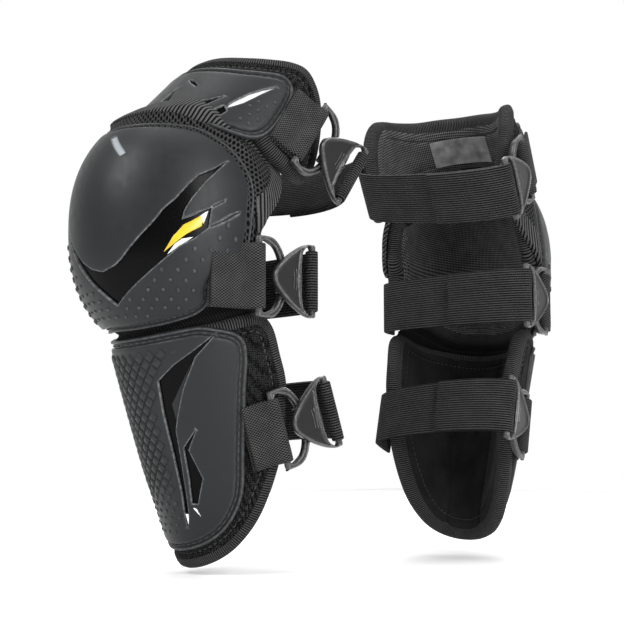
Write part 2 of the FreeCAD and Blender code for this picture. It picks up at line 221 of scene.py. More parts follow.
class Patch:
    """A triangle mesh of a flat outline. Its edges lie on the outline, on the borders of inner
    regions and on rings beside them. Loose points of an even grid fill the rest."""

    def __init__(self, outline, spacing, regions=(), rings=(), region_rings=()):
        self.loops = [np.asarray(loop, float) for loop in (outline, *regions)]
        self.spacing = spacing
        points, edges, count = list(self.loops), [], 0
        for loop in self.loops:
            ids = list(range(count, count + len(loop)))
            edges += list(zip(ids, ids[1:] + ids[:1]))
            count += len(loop)
        for k, loop in enumerate(self.loops):
            points += [self._ring(loop, depth) for depth in (region_rings if k else rings)]
        points.append(self._grid(spacing, max((0, *rings)), max((0, *map(abs, region_rings)))))
        flat = np.concatenate(points)
        made = delaunay_2d_cdt([Vector(p) for p in flat.tolist()], edges, [], 0, 1e-5)
        self.points = np.array([tuple(v) for v in made[0]])
        tris = np.array(made[2])
        middles = self.points[tris].mean(1)
        label = np.where(loop_distance(middles, self.loops[0])[2], 0, -1)
        for k, loop in enumerate(self.loops[1:], start=1):
            label[(label >= 0) & loop_distance(middles, loop)[2]] = k
        self.tris, self.label = tris[label >= 0], label[label >= 0]
        self.distance = [loop_distance(self.points, loop)[0] for loop in self.loops]

    @property
    def edge(self):
        return self.distance[0]

    def _ring(self, loop, depth):
        """Points a depth inside a loop, or outside where depth is negative."""
        run = np.roll(loop, -1, axis=0) - np.roll(loop, 1, axis=0)
        run /= np.maximum(np.linalg.norm(run, axis=1, keepdims=True), 1e-9)
        turn = 1 if loop_area(loop) > 0 else -1
        ring = loop + np.column_stack([-run[:, 1], run[:, 0]]) * depth * turn
        ring = ring[loop_distance(ring, loop)[0] > abs(depth) * 0.96]
        for other in self.loops:
            if other is not loop:
                ring = ring[loop_distance(ring, other)[0] > 0.3]
        return thinned(ring, 0.45)

    def _grid(self, spacing, edge_gap, region_gap):
        low, high = self.loops[0].min(0), self.loops[0].max(0)
        rows = np.arange(low[1], high[1], spacing * 0.87)
        grid = [(x + (k % 2) * spacing / 2, y) for k, y in enumerate(rows)
                for x in np.arange(low[0], high[0], spacing)]
        grid = np.array(grid)
        for k, loop in enumerate(self.loops):
            near, _, within = loop_distance(grid, loop)
            gap = (edge_gap if k == 0 else region_gap) + spacing * 0.5
            grid = grid[(near > gap) & (within | (k > 0))]
        return grid

    def faces(self, *labels):
        return self.tris[np.isin(self.label, labels)] if labels else self.tris


def loop_area(loop):
    x, y = np.asarray(loop).T
    return 0.5 * float(np.sum(x * np.roll(y, -1) - np.roll(x, -1) * y))


def thinned(points, gap):
    """Drops points that come nearer than gap to the one kept before them."""
    kept = []
    for p in points:
        if not kept or np.hypot(*(p - kept[-1])) > gap:
            kept.append(p)
    return np.array(kept).reshape(-1, 2)


def boundary_edges(faces):
    """Directed edges that only one face uses."""
    n = faces.shape[1]
    edges = np.concatenate([faces[:, [k, (k + 1) % n]] for k in range(n)])
    keys = {tuple(e) for e in edges.tolist()}
    return sorted(e for e in keys if (e[1], e[0]) not in keys)


def solid_from(points_out, points_in, faces):
    """A closed solid between two copies of a sheet: vertices, faces and their source points."""
    used, inverse = np.unique(faces, return_inverse=True)
    top = inverse.reshape(faces.shape)
    n = len(used)
    verts = np.concatenate([points_out[used], points_in[used]])
    made = top.tolist() + (top[:, ::-1] + n).tolist()
    made += [[a + n, b + n, b, a] for a, b in boundary_edges(top)]
    return verts, made, np.concatenate([used, used])


# ------------------------------------------------------------------ making objects
class Build:
    """Collects vertices, faces, pattern coordinates and a per-point weight of one piece, in section mm. The
    weight paints a paler colour as a painted highlight on shells and buckles, and marks printed bands on
    the label.
    """

    def __init__(self, section):
        self.section = section
        self.verts, self.faces, self.flat, self.mats, self.wear = [], [], [], [], []
        self.count = 0

    def add(self, verts, faces, flat=None, mat=0, wear=None):
        verts = np.asarray(verts, float)
        flat = np.asarray(flat, float) if flat is not None else verts[:, [1, 2]]
        self.verts.append(verts)
        self.flat.append(np.column_stack([flat[:, 0], flat[:, 1], np.zeros(len(verts))]))
        self.wear.append(np.zeros(len(verts)) if wear is None else np.asarray(wear, float))
        self.faces += [[i + self.count for i in f] for f in faces]
        self.mats += [mat] * len(faces)
        self.count += len(verts)

    def make(self, name, side, materials, sharp=35, body=None, replaces=(), slot=None):
        verts = to_world(side, self.section, np.concatenate(self.verts))
        faces = [f[::-1] for f in self.faces] if side == "right" else self.faces
        mesh = bpy.data.meshes.new("%s_%s" % (side, name))
        mesh.from_pydata(verts.tolist(), [], faces)
        mesh.polygons.foreach_set("use_smooth", [True] * len(faces))
        if sharp is not None:
            mesh.set_sharp_from_angle(angle=math.radians(sharp))
        flat = mesh.attributes.new("flat", "FLOAT_VECTOR", "POINT")
        flat.data.foreach_set("vector", np.concatenate(self.flat).ravel())
        # The per-point weight: painted highlight on shells and buckles, printed bands on the label.
        wear = mesh.attributes.new("wear", "FLOAT", "POINT")
        wear.data.foreach_set("value", np.concatenate(self.wear))
        for material in materials:
            mesh.materials.append(material)
        mesh.polygons.foreach_set("material_index", self.mats)
        mesh.update()
        piece = bpy.data.objects.new("%s_%s_form" % (side, name), mesh)
        bpy.context.collection.objects.link(piece)
        if body:
            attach(piece, "%s_%s" % (side, body))
        if replaces:
            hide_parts(*["%s_%s" % (side, r) for r in replaces])
        return piece


# ------------------------------------------------------------------ materials
class Shader:
    """One material's node tree, with short calls for the nodes used here."""

    def __init__(self, name, roughness=0.5, specular=0.5, coat=0.0, sheen=0.0):
        self.material = bpy.data.materials.new(name)
        self.material.use_nodes = True
        self.tree = self.material.node_tree
        self.principled = self.tree.nodes["Principled BSDF"]
        self.principled.inputs["Roughness"].default_value = roughness
        self.principled.inputs["Specular IOR Level"].default_value = specular
        self.principled.inputs["Coat Weight"].default_value = coat
        self.principled.inputs["Coat Roughness"].default_value = 0.12
        self.principled.inputs["Sheen Weight"].default_value = sheen
        self.principled.inputs["Sheen Roughness"].default_value = 0.45
        self.flat = self.attribute("flat", "Vector")

    def node(self, kind, **settings):
        made = self.tree.nodes.new(kind)
        for key, value in settings.items():
            setattr(made, key, value)
        return made

    def feed(self, socket, value):
        if hasattr(value, "links"):
            self.tree.links.new(value, socket)
        else:
            socket.default_value = value

    def attribute(self, name, output):
        return self.node("ShaderNodeAttribute", attribute_name=name).outputs[output]

    def math(self, operation, a, b=0.0):
        made = self.node("ShaderNodeMath", operation=operation)
        self.feed(made.inputs[0], a)
        self.feed(made.inputs[1], b)
        return made.outputs[0]

    def fit(self, value, low, high, to_low=0.0, to_high=1.0):
        """Maps a value from one range to another, clamped."""
        made = self.node("ShaderNodeMapRange")
        for k, v in enumerate((value, low, high, to_low, to_high)):
            self.feed(made.inputs[k], v)
        return made.outputs[0]

    def mix(self, factor, low, high):
        made = self.node("ShaderNodeMix", data_type="RGBA")
        self.feed(made.inputs[0], factor)
        self.feed(made.inputs[6], low)
        self.feed(made.inputs[7], high)
        return made.outputs[2]

    def noise(self, scale, detail=2.0, vector=None):
        made = self.node("ShaderNodeTexNoise")
        self.feed(made.inputs["Vector"], self.flat if vector is None else vector)
        made.inputs["Scale"].default_value = scale
        made.inputs["Detail"].default_value = detail
        return made.outputs["Fac"]

    def wave(self, direction, pitch, phase=0.0):
        """A sine of the flat coordinates, from -1 to 1, one period per pitch mm along a direction."""
        dot = self.node("ShaderNodeVectorMath", operation="DOT_PRODUCT")
        self.feed(dot.inputs[0], self.flat)
        length = math.hypot(*direction)
        turns = 2 * math.pi / pitch / length
        dot.inputs[1].default_value = (direction[0] * turns, direction[1] * turns, 0)
        return self.math("SINE", self.math("ADD", dot.outputs["Value"], phase))

    def finish(self, colour, height=None, depth=0.1, roughness=None):
        """Links the colour and a bump whose height runs over depth mm."""
        self.feed(self.principled.inputs["Base Color"], colour)
        if roughness is not None:
            self.feed(self.principled.inputs["Roughness"], roughness)
        if height is not None:
            bump = self.node("ShaderNodeBump")
            bump.inputs["Strength"].default_value = 1.0
            bump.inputs["Distance"].default_value = depth * MM
            self.feed(bump.inputs["Height"], height)
            self.feed(self.principled.inputs["Normal"], bump.outputs["Normal"])
        return self.material


def grey(value, warm=0.0):
    return (value * (1 + warm), value, value * (1 - warm), 1)


def moulded(name, base, light, roughness=0.42):
    """Satin moulded plastic: fine grain and cloudy tone, with a painted highlight: a paler colour where the
    per-point weight is set, broken up by noise.
    """
    s = Shader(name, roughness, 0.24)
    cloud = s.noise(0.035, 3)
    tone = s.mix(cloud, grey(base * 0.86, -0.08), grey(base * 1.12, -0.08))
    # Painted highlight: the per-point weight, broken up by noise, mixes in the paler colour given as light.
    wear = s.math("MULTIPLY", s.attribute("wear", "Fac"), s.fit(s.noise(0.45, 4), 0.38, 0.62, 0.35, 1))
    rough = s.fit(s.noise(0.2, 3), 0.3, 0.7, roughness - 0.05, roughness + 0.06)
    return s.finish(s.mix(wear, tone, grey(light, -0.03)), s.noise(3.2, 3), 0.035, rough)


def gloss(name, colour, roughness=0.16, specular=0.5, coat=0.4):
    """Glossy inlay with faint scuffs."""
    s = Shader(name, roughness, specular, coat=coat)
    dim = tuple(c * 0.82 for c in colour[:3]) + (1,)
    tone = s.mix(s.fit(s.noise(0.09, 4), 0.35, 0.65), dim, colour)
    rough = s.fit(s.noise(1.1, 5), 0.35, 0.75, roughness, roughness + 0.16)
    return s.finish(tone, s.noise(0.8, 3), 0.03, rough)


def hex_mesh(name, dark, pale, pitch=2.3, depth=0.3):
    """Open mesh: dark six-sided holes between thin pale threads."""
    s = Shader(name, 0.78, 0.05, sheen=0.03)
    waves = [s.wave((math.cos(a), math.sin(a)), pitch * 0.87, math.pi / 2) for a in (0, 1.047, 2.094)]
    cells = s.math("ADD", s.math("ADD", waves[0], waves[1]), waves[2])
    threads = s.fit(cells, -1.2, 0.5, 1.0, 0.0)
    fibre = s.noise(4.5, 3)
    patch = s.fit(s.noise(0.06, 2), 0.3, 0.7, 0.7, 1.0)
    tone = s.math("MULTIPLY", s.math("MULTIPLY", threads, s.fit(fibre, 0.3, 0.7, 0.5, 1.0)), patch)
    return s.finish(s.mix(tone, grey(dark), grey(pale)), s.math("ADD", threads, fibre), depth)


def knitted(name, dark, pale, pitch):
    """Close knit over foam: small even cells that wrap round the edges."""
    s = Shader(name, 0.85, 0.05, sheen=0.03)
    place = s.node("ShaderNodeVectorMath", operation="SCALE")
    s.feed(place.inputs[0], s.node("ShaderNodeTexCoord").outputs["Object"])
    place.inputs["Scale"].default_value = 1 / MM
    cell = s.node("ShaderNodeTexVoronoi")
    s.feed(cell.inputs["Vector"], place.outputs[0])
    cell.inputs["Scale"].default_value = 1 / pitch
    cell.inputs["Randomness"].default_value = 0.35
    loops = s.fit(cell.outputs["Distance"], 0.15, 0.62, 1.0, 0.0)
    fibre = s.noise(1.8, 3, place.outputs[0])
    patch = s.fit(s.noise(0.06, 3, place.outputs[0]), 0.3, 0.7, 0.6, 1.0)
    tone = s.math("MULTIPLY", s.math("MULTIPLY", loops, s.fit(fibre, 0.3, 0.7, 0.35, 1.0)), patch)
    return s.finish(s.mix(tone, grey(dark), grey(pale)), loops, 0.25)


def woven(name, dark, pale, across, along, depth=0.22, roughness=0.8, slant=0.0, sheen=0.03):
    """Plain weave or, with a slant, twill: threads over and under at two pitches in mm."""
    s = Shader(name, roughness, 0.05, sheen=sheen)
    warp = s.wave((1, slant), across)
    weft = s.wave((-slant, 1), along)
    over = s.fit(s.math("MULTIPLY", warp, weft), -0.6, 0.8)
    fibre = s.noise(3.5, 4)
    patch = s.fit(s.noise(0.08, 3), 0.3, 0.7, 0.65, 1.0)
    tone = s.math("MULTIPLY", s.math("MULTIPLY", over, s.fit(fibre, 0.3, 0.75, 0.45, 1.0)), patch)
    height = s.math("ADD", over, s.math("MULTIPLY", fibre, 0.6))
    return s.finish(s.mix(tone, grey(dark), grey(pale)), height, depth)


def ribbed(name, dark, pale, direction, pitch, depth=0.3, fleck=0.5):
    """Cords or ribs side by side, with flecked thread over them."""
    s = Shader(name, 0.8, 0.05, sheen=0.03)
    rib = s.fit(s.wave(direction, pitch), -0.8, 0.9)
    thread = s.fit(s.noise(2.6, 4), 0.35, 0.7, 1 - fleck, 1.0)
    patch = s.fit(s.noise(0.07, 3), 0.3, 0.7, 0.7, 1.0)
    tone = s.math("MULTIPLY", s.math("MULTIPLY", rib, thread), patch)
    return s.finish(s.mix(tone, grey(dark), grey(pale)), s.math("ADD", rib, thread), depth)


def brushed(name, dark, pale, depth=0.12):
    """Short-pile lining: soft, dark, with a cloudy nap."""
    s = Shader(name, 0.9, 0.08, sheen=0.06)
    nap = s.noise(1.4, 6)
    tone = s.math("MULTIPLY", s.fit(nap, 0.35, 0.7), s.fit(s.noise(0.05, 3), 0.3, 0.7, 0.5, 1.0))
    return s.finish(s.mix(tone, grey(dark), grey(pale)), nap, depth)


def satin(name, base, pale):
    """Woven label: paler printed bands, and soft folds whose noise also lightens and darkens the colour as
    painted light and shade.
    """
    s = Shader(name, 0.34, 0.4, sheen=0.1)
    fold = s.fit(s.noise(0.1, 2), 0.3, 0.75, 0.2, 0.75)
    band = s.fit(s.attribute("wear", "Fac"), 0.3, 0.7)
    thread = s.fit(s.wave((0, 1), 0.7), -1, 1)
    # Painted light and shade on the folds; the bands are print.
    tone = s.math("MAXIMUM", s.math("MULTIPLY", fold, 0.45), s.math("MULTIPLY", band, fold))
    return s.finish(s.mix(tone, grey(base), grey(pale)), s.math("ADD", thread, fold), 0.08)


def buckle(name, base, light):
    """Hard buckle plastic: semi-gloss, with a painted highlight in a paler colour along the rims and bars.
    """
    s = Shader(name, 0.3, 0.4, coat=0.1)
    # Painted highlight: the per-point weight, broken up by noise, mixes in the paler colour given as light.
    wear = s.math("MULTIPLY", s.attribute("wear", "Fac"), s.fit(s.noise(0.7, 3), 0.35, 0.65, 0.4, 1))
    tone = s.mix(s.noise(0.15, 3), grey(base * 0.8), grey(base * 1.2))
    return s.finish(s.mix(wear, tone, grey(light)), s.noise(2.4, 3), 0.04)


# For moulded and buckle materials the third value is the painted highlight's colour.
SHELL = moulded("shell", 0.0125, 0.4)
BLACK = gloss("gloss_black", grey(0.001), 0.22, 0.07, 0.02)
WHITE = gloss("white", (0.82, 0.84, 0.86, 1), 0.25)
YELLOW = gloss("yellow", (0.66, 0.45, 0.0, 1), 0.28)
SIDE_MESH = hex_mesh("side_mesh", 0.0008, 0.07, 2.9)
PAD_KNIT = knitted("pad_knit", 0.0015, 0.05, 1.35)
TWILL = ribbed("twill", 0.001, 0.15, (1, 0.9), 2.4)
BINDING = ribbed("binding", 0.001, 0.1, (1, 0), 1.5)
LINER = woven("liner", 0.001, 0.22, 2.6, 2.6, slant=0.9)
FLEECE = brushed("fleece", 0.001, 0.03)
WEBBING = woven("webbing", 0.001, 0.12, 2.3, 1.7)
ELASTIC = ribbed("elastic", 0.001, 0.13, (0, 1), 1.7, 0.3, 0.92)
LABEL = satin("label", 0.06, 0.75)
# A pale shell colour for the first crease's floor: a painted highlight stripe.
CREASE_HIGHLIGHT_PAINT = moulded("shell_painted_highlight", 0.3, 0.5, 0.3)
BUCKLE = buckle("buckle", 0.006, 0.13)
THREAD = woven("thread", 0.03, 0.15, 0.8, 0.5, 0.1)
STRETCH = ribbed("stretch", 0.0015, 0.018, (1, 0.2), 1.9)


# ------------------------------------------------------------------ parts of pieces
def smoothstep(x, low, high):
    t = np.clip((x - low) / (high - low), 0, 1)
    return t * t * (3 - 2 * t)


def sheet_solid(build, patch, outside, inside, labels=(), mat=0, wear=None):
    """Adds the closed solid between two offsets of a patch; each offset is one value or per point."""
    n = len(patch.points)
    section = build.section
    top = surface(section, patch.points, np.broadcast_to(outside, n))
    low = surface(section, patch.points, np.broadcast_to(inside, n))
    verts, faces, source = solid_from(top, low, patch.faces(*labels))
    shown = None if wear is None else np.where(np.arange(len(verts)) < len(verts) // 2,
                                               wear[source], 0)
    build.add(verts, faces, patch.points[source], mat, shown)


def swept_band(build, path, profile, closed=True, lift=None):
    """Sweeps a closed profile of (inward, out) pairs along a flat path on the section."""
    path = np.asarray(path, float)
    n, m = len(path), len(profile)
    if closed:
        run = np.roll(path, -1, axis=0) - np.roll(path, 1, axis=0)
        turn = 1 if loop_area(path) > 0 else -1
    else:
        run = np.gradient(path, axis=0)
        turn = 1
    run /= np.linalg.norm(run, axis=1, keepdims=True)
    inward = np.column_stack([-run[:, 1], run[:, 0]]) * turn
    step = np.linalg.norm(np.diff(path, axis=0), axis=1)
    along = np.concatenate([[0], np.cumsum(step)])
    flat = (path[:, None] + inward[:, None] * np.array([p[0] for p in profile])[None, :, None])
    flat = flat.reshape(-1, 2)
    out = np.tile([p[1] for p in profile], n)
    if lift is not None:
        out = out + lift(flat)
    verts = surface(build.section, flat, out)
    rows = n if closed else n - 1
    faces = []
    for i in range(rows):
        j = (i + 1) % n
        for k in range(m):
            l = (k + 1) % m
            faces.append([i * m + k, j * m + k, j * m + l, i * m + l])
    if not closed:
        faces += [list(range(m)), [(n - 1) * m + k for k in reversed(range(m))]]
    if turn < 0:
        faces = [f[::-1] for f in faces]
    around = np.concatenate([[0], np.cumsum(np.hypot(*np.diff(np.array(profile), axis=0).T))])
    coordinates = np.stack(np.broadcast_arrays(along[:, None], around[None, :]), -1)
    build.add(verts, faces, coordinates.reshape(-1, 2))


def capsules(build, path, length, gap, radius, out, mat=0):
    """Adds raised stitches along a closed flat path."""
    path = np.concatenate([path, path[:1]])
    along = np.concatenate([[0], np.cumsum(np.linalg.norm(np.diff(path, axis=0), axis=1))])
    count = max(1, int(along[-1] // (length + gap)))
    pitch = along[-1] / count
    sides = np.arange(6) * math.pi / 3
    for k in range(count):
        ends = [k * pitch + gap / 2 + length * t for t in (0.0, 0.15, 0.5, 0.85, 1.0)]
        spine = np.array([[np.interp(e, along, path[:, c]) for c in (0, 1)] for e in ends])
        run = spine[-1] - spine[0]
        run /= max(np.linalg.norm(run), 1e-9)
        side = np.array([-run[1], run[0]])
        size = np.array([0.25, 0.85, 1.0, 0.85, 0.25]) * radius
        flat = spine[:, None] + side * (size[:, None] * np.cos(sides))[:, :, None]
        height = out + size[:, None] * np.sin(sides)
        verts = surface(build.section, flat.reshape(-1, 2), height.reshape(-1))
        faces = [[a * 6 + b, a * 6 + (b + 1) % 6, a * 6 + 6 + (b + 1) % 6, a * 6 + 6 + b]
                 for a in range(4) for b in range(6)]
        faces += [[5, 4, 3, 2, 1, 0], [24, 25, 26, 27, 28, 29]]
        build.add(verts, [f[::-1] for f in faces], flat.reshape(-1, 2), mat)


def inset(loop, depth):
    """A loop moved inwards by a depth."""
    loop = np.asarray(loop, float)
    run = np.roll(loop, -1, axis=0) - np.roll(loop, 1, axis=0)
    run /= np.maximum(np.linalg.norm(run, axis=1, keepdims=True), 1e-9)
    turn = 1 if loop_area(loop) > 0 else -1
    moved = loop + np.column_stack([-run[:, 1], run[:, 0]]) * depth * turn
    moved = moved[loop_distance(moved, loop)[0] > abs(depth) * 0.97]
    return thinned(moved, 0.6)


DOME = ((1.0, -0.35), (0.93, 0.35), (0.66, 0.78), (0.28, 0.97))


def domes(build, centres, radius, height, base, sides=8, stretch=(1, 1), turn=0.0, wear=0.12):
    """Adds low closed bumps that stand on the surface; sides of 4 makes diamond studs."""
    if len(centres) == 0:
        return
    angles = np.arange(sides) * 2 * math.pi / sides + turn
    ring = np.column_stack([np.cos(angles) * stretch[0], np.sin(angles) * stretch[1]])
    for centre, r in zip(centres, np.broadcast_to(radius, len(centres))):
        flats = [centre + ring * r * share for share, _ in DOME]
        outs = [base + height * rise * min(1, r / max(np.max(radius), 1e-6)) for _, rise in DOME]
        flat = np.concatenate(flats + [[centre]])
        out = np.concatenate([np.full(sides, o) for o in outs] + [[outs[-1] + 0.02]])
        verts = surface(build.section, flat, out)
        last = len(DOME) * sides
        faces = [[a * sides + b, a * sides + (b + 1) % sides,
                  (a + 1) * sides + (b + 1) % sides, (a + 1) * sides + b]
                 for a in range(len(DOME) - 1) for b in range(sides)]
        faces += [[(len(DOME) - 1) * sides + b, (len(DOME) - 1) * sides + (b + 1) % sides, last]
                  for b in range(sides)]
        faces.append(list(range(sides))[::-1])
        # The bumps' upper rings and tops get a painted highlight.
        top_highlight = np.concatenate([np.zeros(2 * sides), np.full(2 * sides + 1, wear)])
        build.add(verts, faces, flat, wear=top_highlight)


def grid_in(region, spacing, away=(), gap=3.0):
    """Staggered points inside a flat region that keep a gap from other loops."""
    region = np.asarray(region, float)
    low, high = region.min(0), region.max(0)
    rows = np.arange(low[1], high[1], spacing[1])
    points = np.array([(x + (k % 2) * spacing[0] / 2, y)
                       for k, y in enumerate(rows) for x in np.arange(low[0], high[0], spacing[0])])
    points = points[loop_distance(points, region)[2]]
    for loop in away:
        near, _, within = loop_distance(points, np.asarray(loop, float))
        points = points[(near > gap) & ~within]
    return points


def resampled(points, step):
    """Points along straight edges of a closed loop, with its corners kept."""
    out = []
    for a, b in zip(np.array(points, float), np.roll(np.array(points, float), -1, axis=0)):
        count = max(1, int(np.linalg.norm(b - a) / step))
        out += [a + (b - a) * k / count for k in range(count)]
    return np.array(out)


# ------------------------------------------------------------------ pads and liners
# Half outlines of (angle from the front, height), from the top's middle to the bottom's.
THIGH_PAD = [(0, 101), (16, 102), (34, 104), (50, 109), (66, 115.5), (78, 117), (92, 110.5), (103, 101),
             (113, 87), (119.5, 72), (119, 58), (111, 50), (97, 48.5), (84, 49), (72, 53), (60, 56),
             (30, 56), (0, 56)]
KNEE_PAD = [(0, 62), (30, 60), (55, 54), (75, 48.5), (88, 42.5), (97, 33), (108, 26), (112, 22),
            (111, 14), (105, 0), (103, -4), (106, -14), (105, -22), (98, -27), (85, -29), (68, -34),
            (50, -43), (30, -49), (0, -51)]
SHIN_PAD = [(0, -56), (32, -56), (51, -57.5), (63, -58.5), (76.5, -58.5), (90, -60.5),
            (97.5, -70.5), (99, -88), (99.5, -105), (95.5, -120), (92, -135), (86, -148.5),
            (80, -159.5), (73, -170.5), (65, -181), (55, -190), (42, -197.5), (24, -202), (0, -203.5)]
PADS = {"thigh": THIGH_PAD, "knee": KNEE_PAD, "shin": SHIN_PAD}
PAD_WALL = 9
LINER_WALL = 3.2
# The edge binding wraps the pad's thinned edge: (inward, out) pairs, outer face first.
BINDING_PROFILE = [(6.0, 0.1), (5.6, 0.5), (2.5, 0.2), (0.4, -0.6), (-0.8, -2.2), (-1.1, -5.0),
                   (-0.6, -7.6), (0.8, -9.4), (3.0, -10.4), (5.8, -11.4), (6.3, -11.0), (6.0, -6.0)]
EDGE_ROLL = 9.0


def pad_outline(section):
    """A pad's flat outline. The knee's heights are latitudes in degrees."""
    full = both_sides(PADS[section])
    if section == "knee":
        return smooth_loop([(math.radians(a) * ARC[section], math.radians(s) * ARC[section])
                            for a, s in full])
    return smooth_loop([pattern(section, a, s) for a, s in full])


def pad_pieces(side, section):
    loop = pad_outline(section)
    patch = Patch(loop, 3.2, rings=(1.5, 3.5, 6.0, 8.0, 9.6, 11.2))
    edge = patch.edge
    roll = (1 - np.clip(edge / EDGE_ROLL, 0, 1)) ** 2
    groove = 0.9 * np.exp(-((edge - 9.6) / 1.1) ** 2)
    outside = -2.4 * roll - groove
    inside = -PAD_WALL + 2.6 * roll
    pad = Build(section)
    sheet_solid(pad, patch, outside, inside)
    capsules(pad, inset(loop, 9.6), 2.6, 1.6, 0.35, -0.75, mat=1)
    pad = pad.make(section + "_pad", side, [PAD_KNIT, THREAD], body=section,
                   replaces=[section + "_pad"], slot="pad_fabric")

    band = Build(section)
    swept_band(band, smooth_loop(thinned(loop, 3.0), 1.0), BINDING_PROFILE)
    band.make(section + "_binding", side, [BINDING], sharp=50, body=section, slot="webbing")

    inner = inset(loop, 4.5)
    patch = Patch(inner, 3.0, rings=(1.5, 3.5, 6.0, 7.4, 9.0))
    edge = patch.edge
    roll = (1 - np.clip(edge / 7.0, 0, 1)) ** 2
    groove = 1.1 * np.exp(-((edge - 7.4) / 1.0) ** 2)
    a = patch.points[:, 0]
    if section == "shin":
        for seam in (-26, 26):
            groove += 1.8 * np.exp(-((a - seam) / 1.8) ** 2)
    inside = -PAD_WALL - LINER_WALL - 1.2 + 2.6 * roll + groove
    lining = Build(section)
    sheet_solid(lining, patch, -PAD_WALL - 0.15 + 1.2 * roll, inside)
    capsules(lining, inset(inner, 7.4), 2.6, 1.6, 0.4, -PAD_WALL - LINER_WALL - 0.1, mat=1)
    lining = lining.make(section + "_liner", side, [FLEECE if section == "shin" else LINER, THREAD],
                         body=section, replaces=[section + "_liner"], slot="liner_mesh")


# ------------------------------------------------------------------ shells
# The rim's height at a distance from the edge: a rounded bead, a sewn groove, then the face.
RIM_PROFILE = ((0, 0.5), (0.35, 1.5), (0.9, 2.15), (1.5, 2.3), (2.1, 1.95), (2.6, 1.0), (2.9, 0.75),
               (4.7, 0.75), (5.0, 1.1), (5.4, 2.5), (5.9, 2.9), (7.0, 3.0))
RIM_RINGS = (0.35, 0.9, 1.5, 2.1, 2.6, 2.9, 3.8, 4.7, 5.0, 5.4, 5.9, 7.0)
WINDOW_RINGS = (-0.35, -0.9, 0.5)
STITCH_AT = 3.8
SHELL_UNDER = 0.15


def shell_piece(side, name, section, loop, windows, floors, decorate):
    """A moulded shell with its bead, groove and sewn line, and windows sunk into its face.
    Each window's floor is a piece: its name, height, material, slot and the CAD nodes it replaces."""
    patch = Patch(loop, 2.0, windows, RIM_RINGS, WINDOW_RINGS)
    profile = np.array(RIM_PROFILE)
    outside = np.interp(patch.edge, profile[:, 0], profile[:, 1])
    # Painted highlight: a paler colour along the bead's crest, beside the groove and round each window's
    # edge.
    wear = 0.16 * np.exp(-((patch.edge - 1.4) / 0.7) ** 2) + 0.1 * np.exp(-((patch.edge - 5.5) / 0.4) ** 2)
    for k in range(1, len(windows) + 1):
        near = patch.distance[k]
        outside = outside - 0.35 * np.exp(-(near / 0.3) ** 2)
        wear = wear + 0.42 * np.exp(-(near / 0.4) ** 2)
    wear = np.clip(wear, 0, 1)
    shell = Build(section)
    sheet_solid(shell, patch, outside, SHELL_UNDER, labels=(0,), wear=wear)
    decorate(shell)
    capsules(shell, inset(loop, STITCH_AT), 3.4, 1.6, 0.55, 0.95, mat=1)
    shell.make(name, side, [SHELL, THREAD], body=section, replaces=[name], slot="shell_plastic")
    for k, (floor, height, material, slot, stands_for) in enumerate(floors, start=1):
        inlay = Build(section)
        sheet_solid(inlay, patch, height, SHELL_UNDER + 0.05, labels=(k,))
        inlay.make(floor, side, [material], body=section, replaces=stands_for, slot=slot)


def trim_piece(side, name, section, loop, top, bottom, material, slot, stands_for=()):
    """A small raised inlay with rounded edges."""
    patch = Patch(loop, 1.6, rings=(0.3, 0.7))
    build = Build(section)
    edge = np.clip(patch.edge / 0.6, 0, 1)
    sheet_solid(build, patch, top - 0.3 * (1 - edge) ** 2, bottom)
    build.make(name, side, [material], body=section, replaces=stands_for, slot=slot)


# ------------------------------------------------------------------ the knee
CUP_RIM = [(0, 60.5), (25, 60.5), (50, 60), (68, 58), (80, 52), (90, 42), (96, 29), (97.5, 17), (96, 0),
           (94, -19), (90, -30), (82, -36), (76.5, -43), (76, -49), (75, -55), (68, -61), (55, -65),
           (40, -67.5), (20, -69), (0, -69)]
# The flash is a sunk tick whose long arm climbs the outer side. (angle, height) on the outer face.
FLASH = [(83, 35), (75, 28.5), (68, 24), (64.5, 19.5), (57, 8), (50, -1), (45.5, -8), (40, -15),
         (35, -21.5), (29.5, -28.5), (25, -32), (17, -35), (9.5, -33), (2, -28), (-8, -16), (-20, 0),
         (-12, -14), (-3, -29), (5, -40), (12, -47), (20, -54.5), (30.5, -47), (41.5, -38), (52, -28),
         (59, -20.5), (66, -15.5), (72.5, -8.5), (74, 4), (66, -1.5), (60, -4.5), (61, 1), (64.5, 9),
         (71, 20)]
YELLOW_BLADE = [(51.5, -24.5), (56, -15), (61, -7.5), (68, -2), (71, 0.3), (69.3, -8), (62.5, -13),
                (60, -15.6), (56, -20)]
# Two white pieces beside the yellow blade are painted highlights: light caught on the sunk walls there.
CORNER_HIGHLIGHT = [(68.6, -1.6), (72.6, 2), (70.3, -6.2)]
SLIVER_HIGHLIGHT = [(53.2, -25.8), (57, -19.4), (60.2, -16.2), (65.5, -14.8), (59, -21)]
CREASES = [[(11.5, 50.5), (15.5, 51.5), (28.7, 38), (25.5, 36.2)],
           [(74.5, 4), (80, 8.4), (79.8, 9.2), (74, 5)],
           [(73.5, -8.5), (87.5, 1.8), (87, 2.8), (73.4, -7.3)]]
# The studs fill the cup's lower part, under the flash.
STUDDED = [(95, 4), (86, 2), (72, -11), (60, -24), (42, -42), (30, -51), (20, -59), (8, -50), (-6, -36),
           (-24, -10), (-40, -6), (-75, 2), (-95, 4), (-95, -40), (-60, -68), (60, -68), (95, -40)]
FLASH_FLOOR, CREASE_FLOOR = 0.9, 2.1
LATITUDE_OUT = 3


def on_shell(section, points, mirrored=False, smooth=False, step=1.1):
    """A flat loop from (angle, height) points read on the shell's outer face."""
    flat = []
    for a, z in points:
        if section == "knee":
            rise = math.radians(knee_latitude(z, LATITUDE_OUT)) * ARC[section]
        else:
            rise = z
        flat.append((math.radians(a) * ARC[section], rise))
    if mirrored:
        flat = both_sides(flat)
    return smooth_loop(flat, step) if smooth else resampled(flat, step)


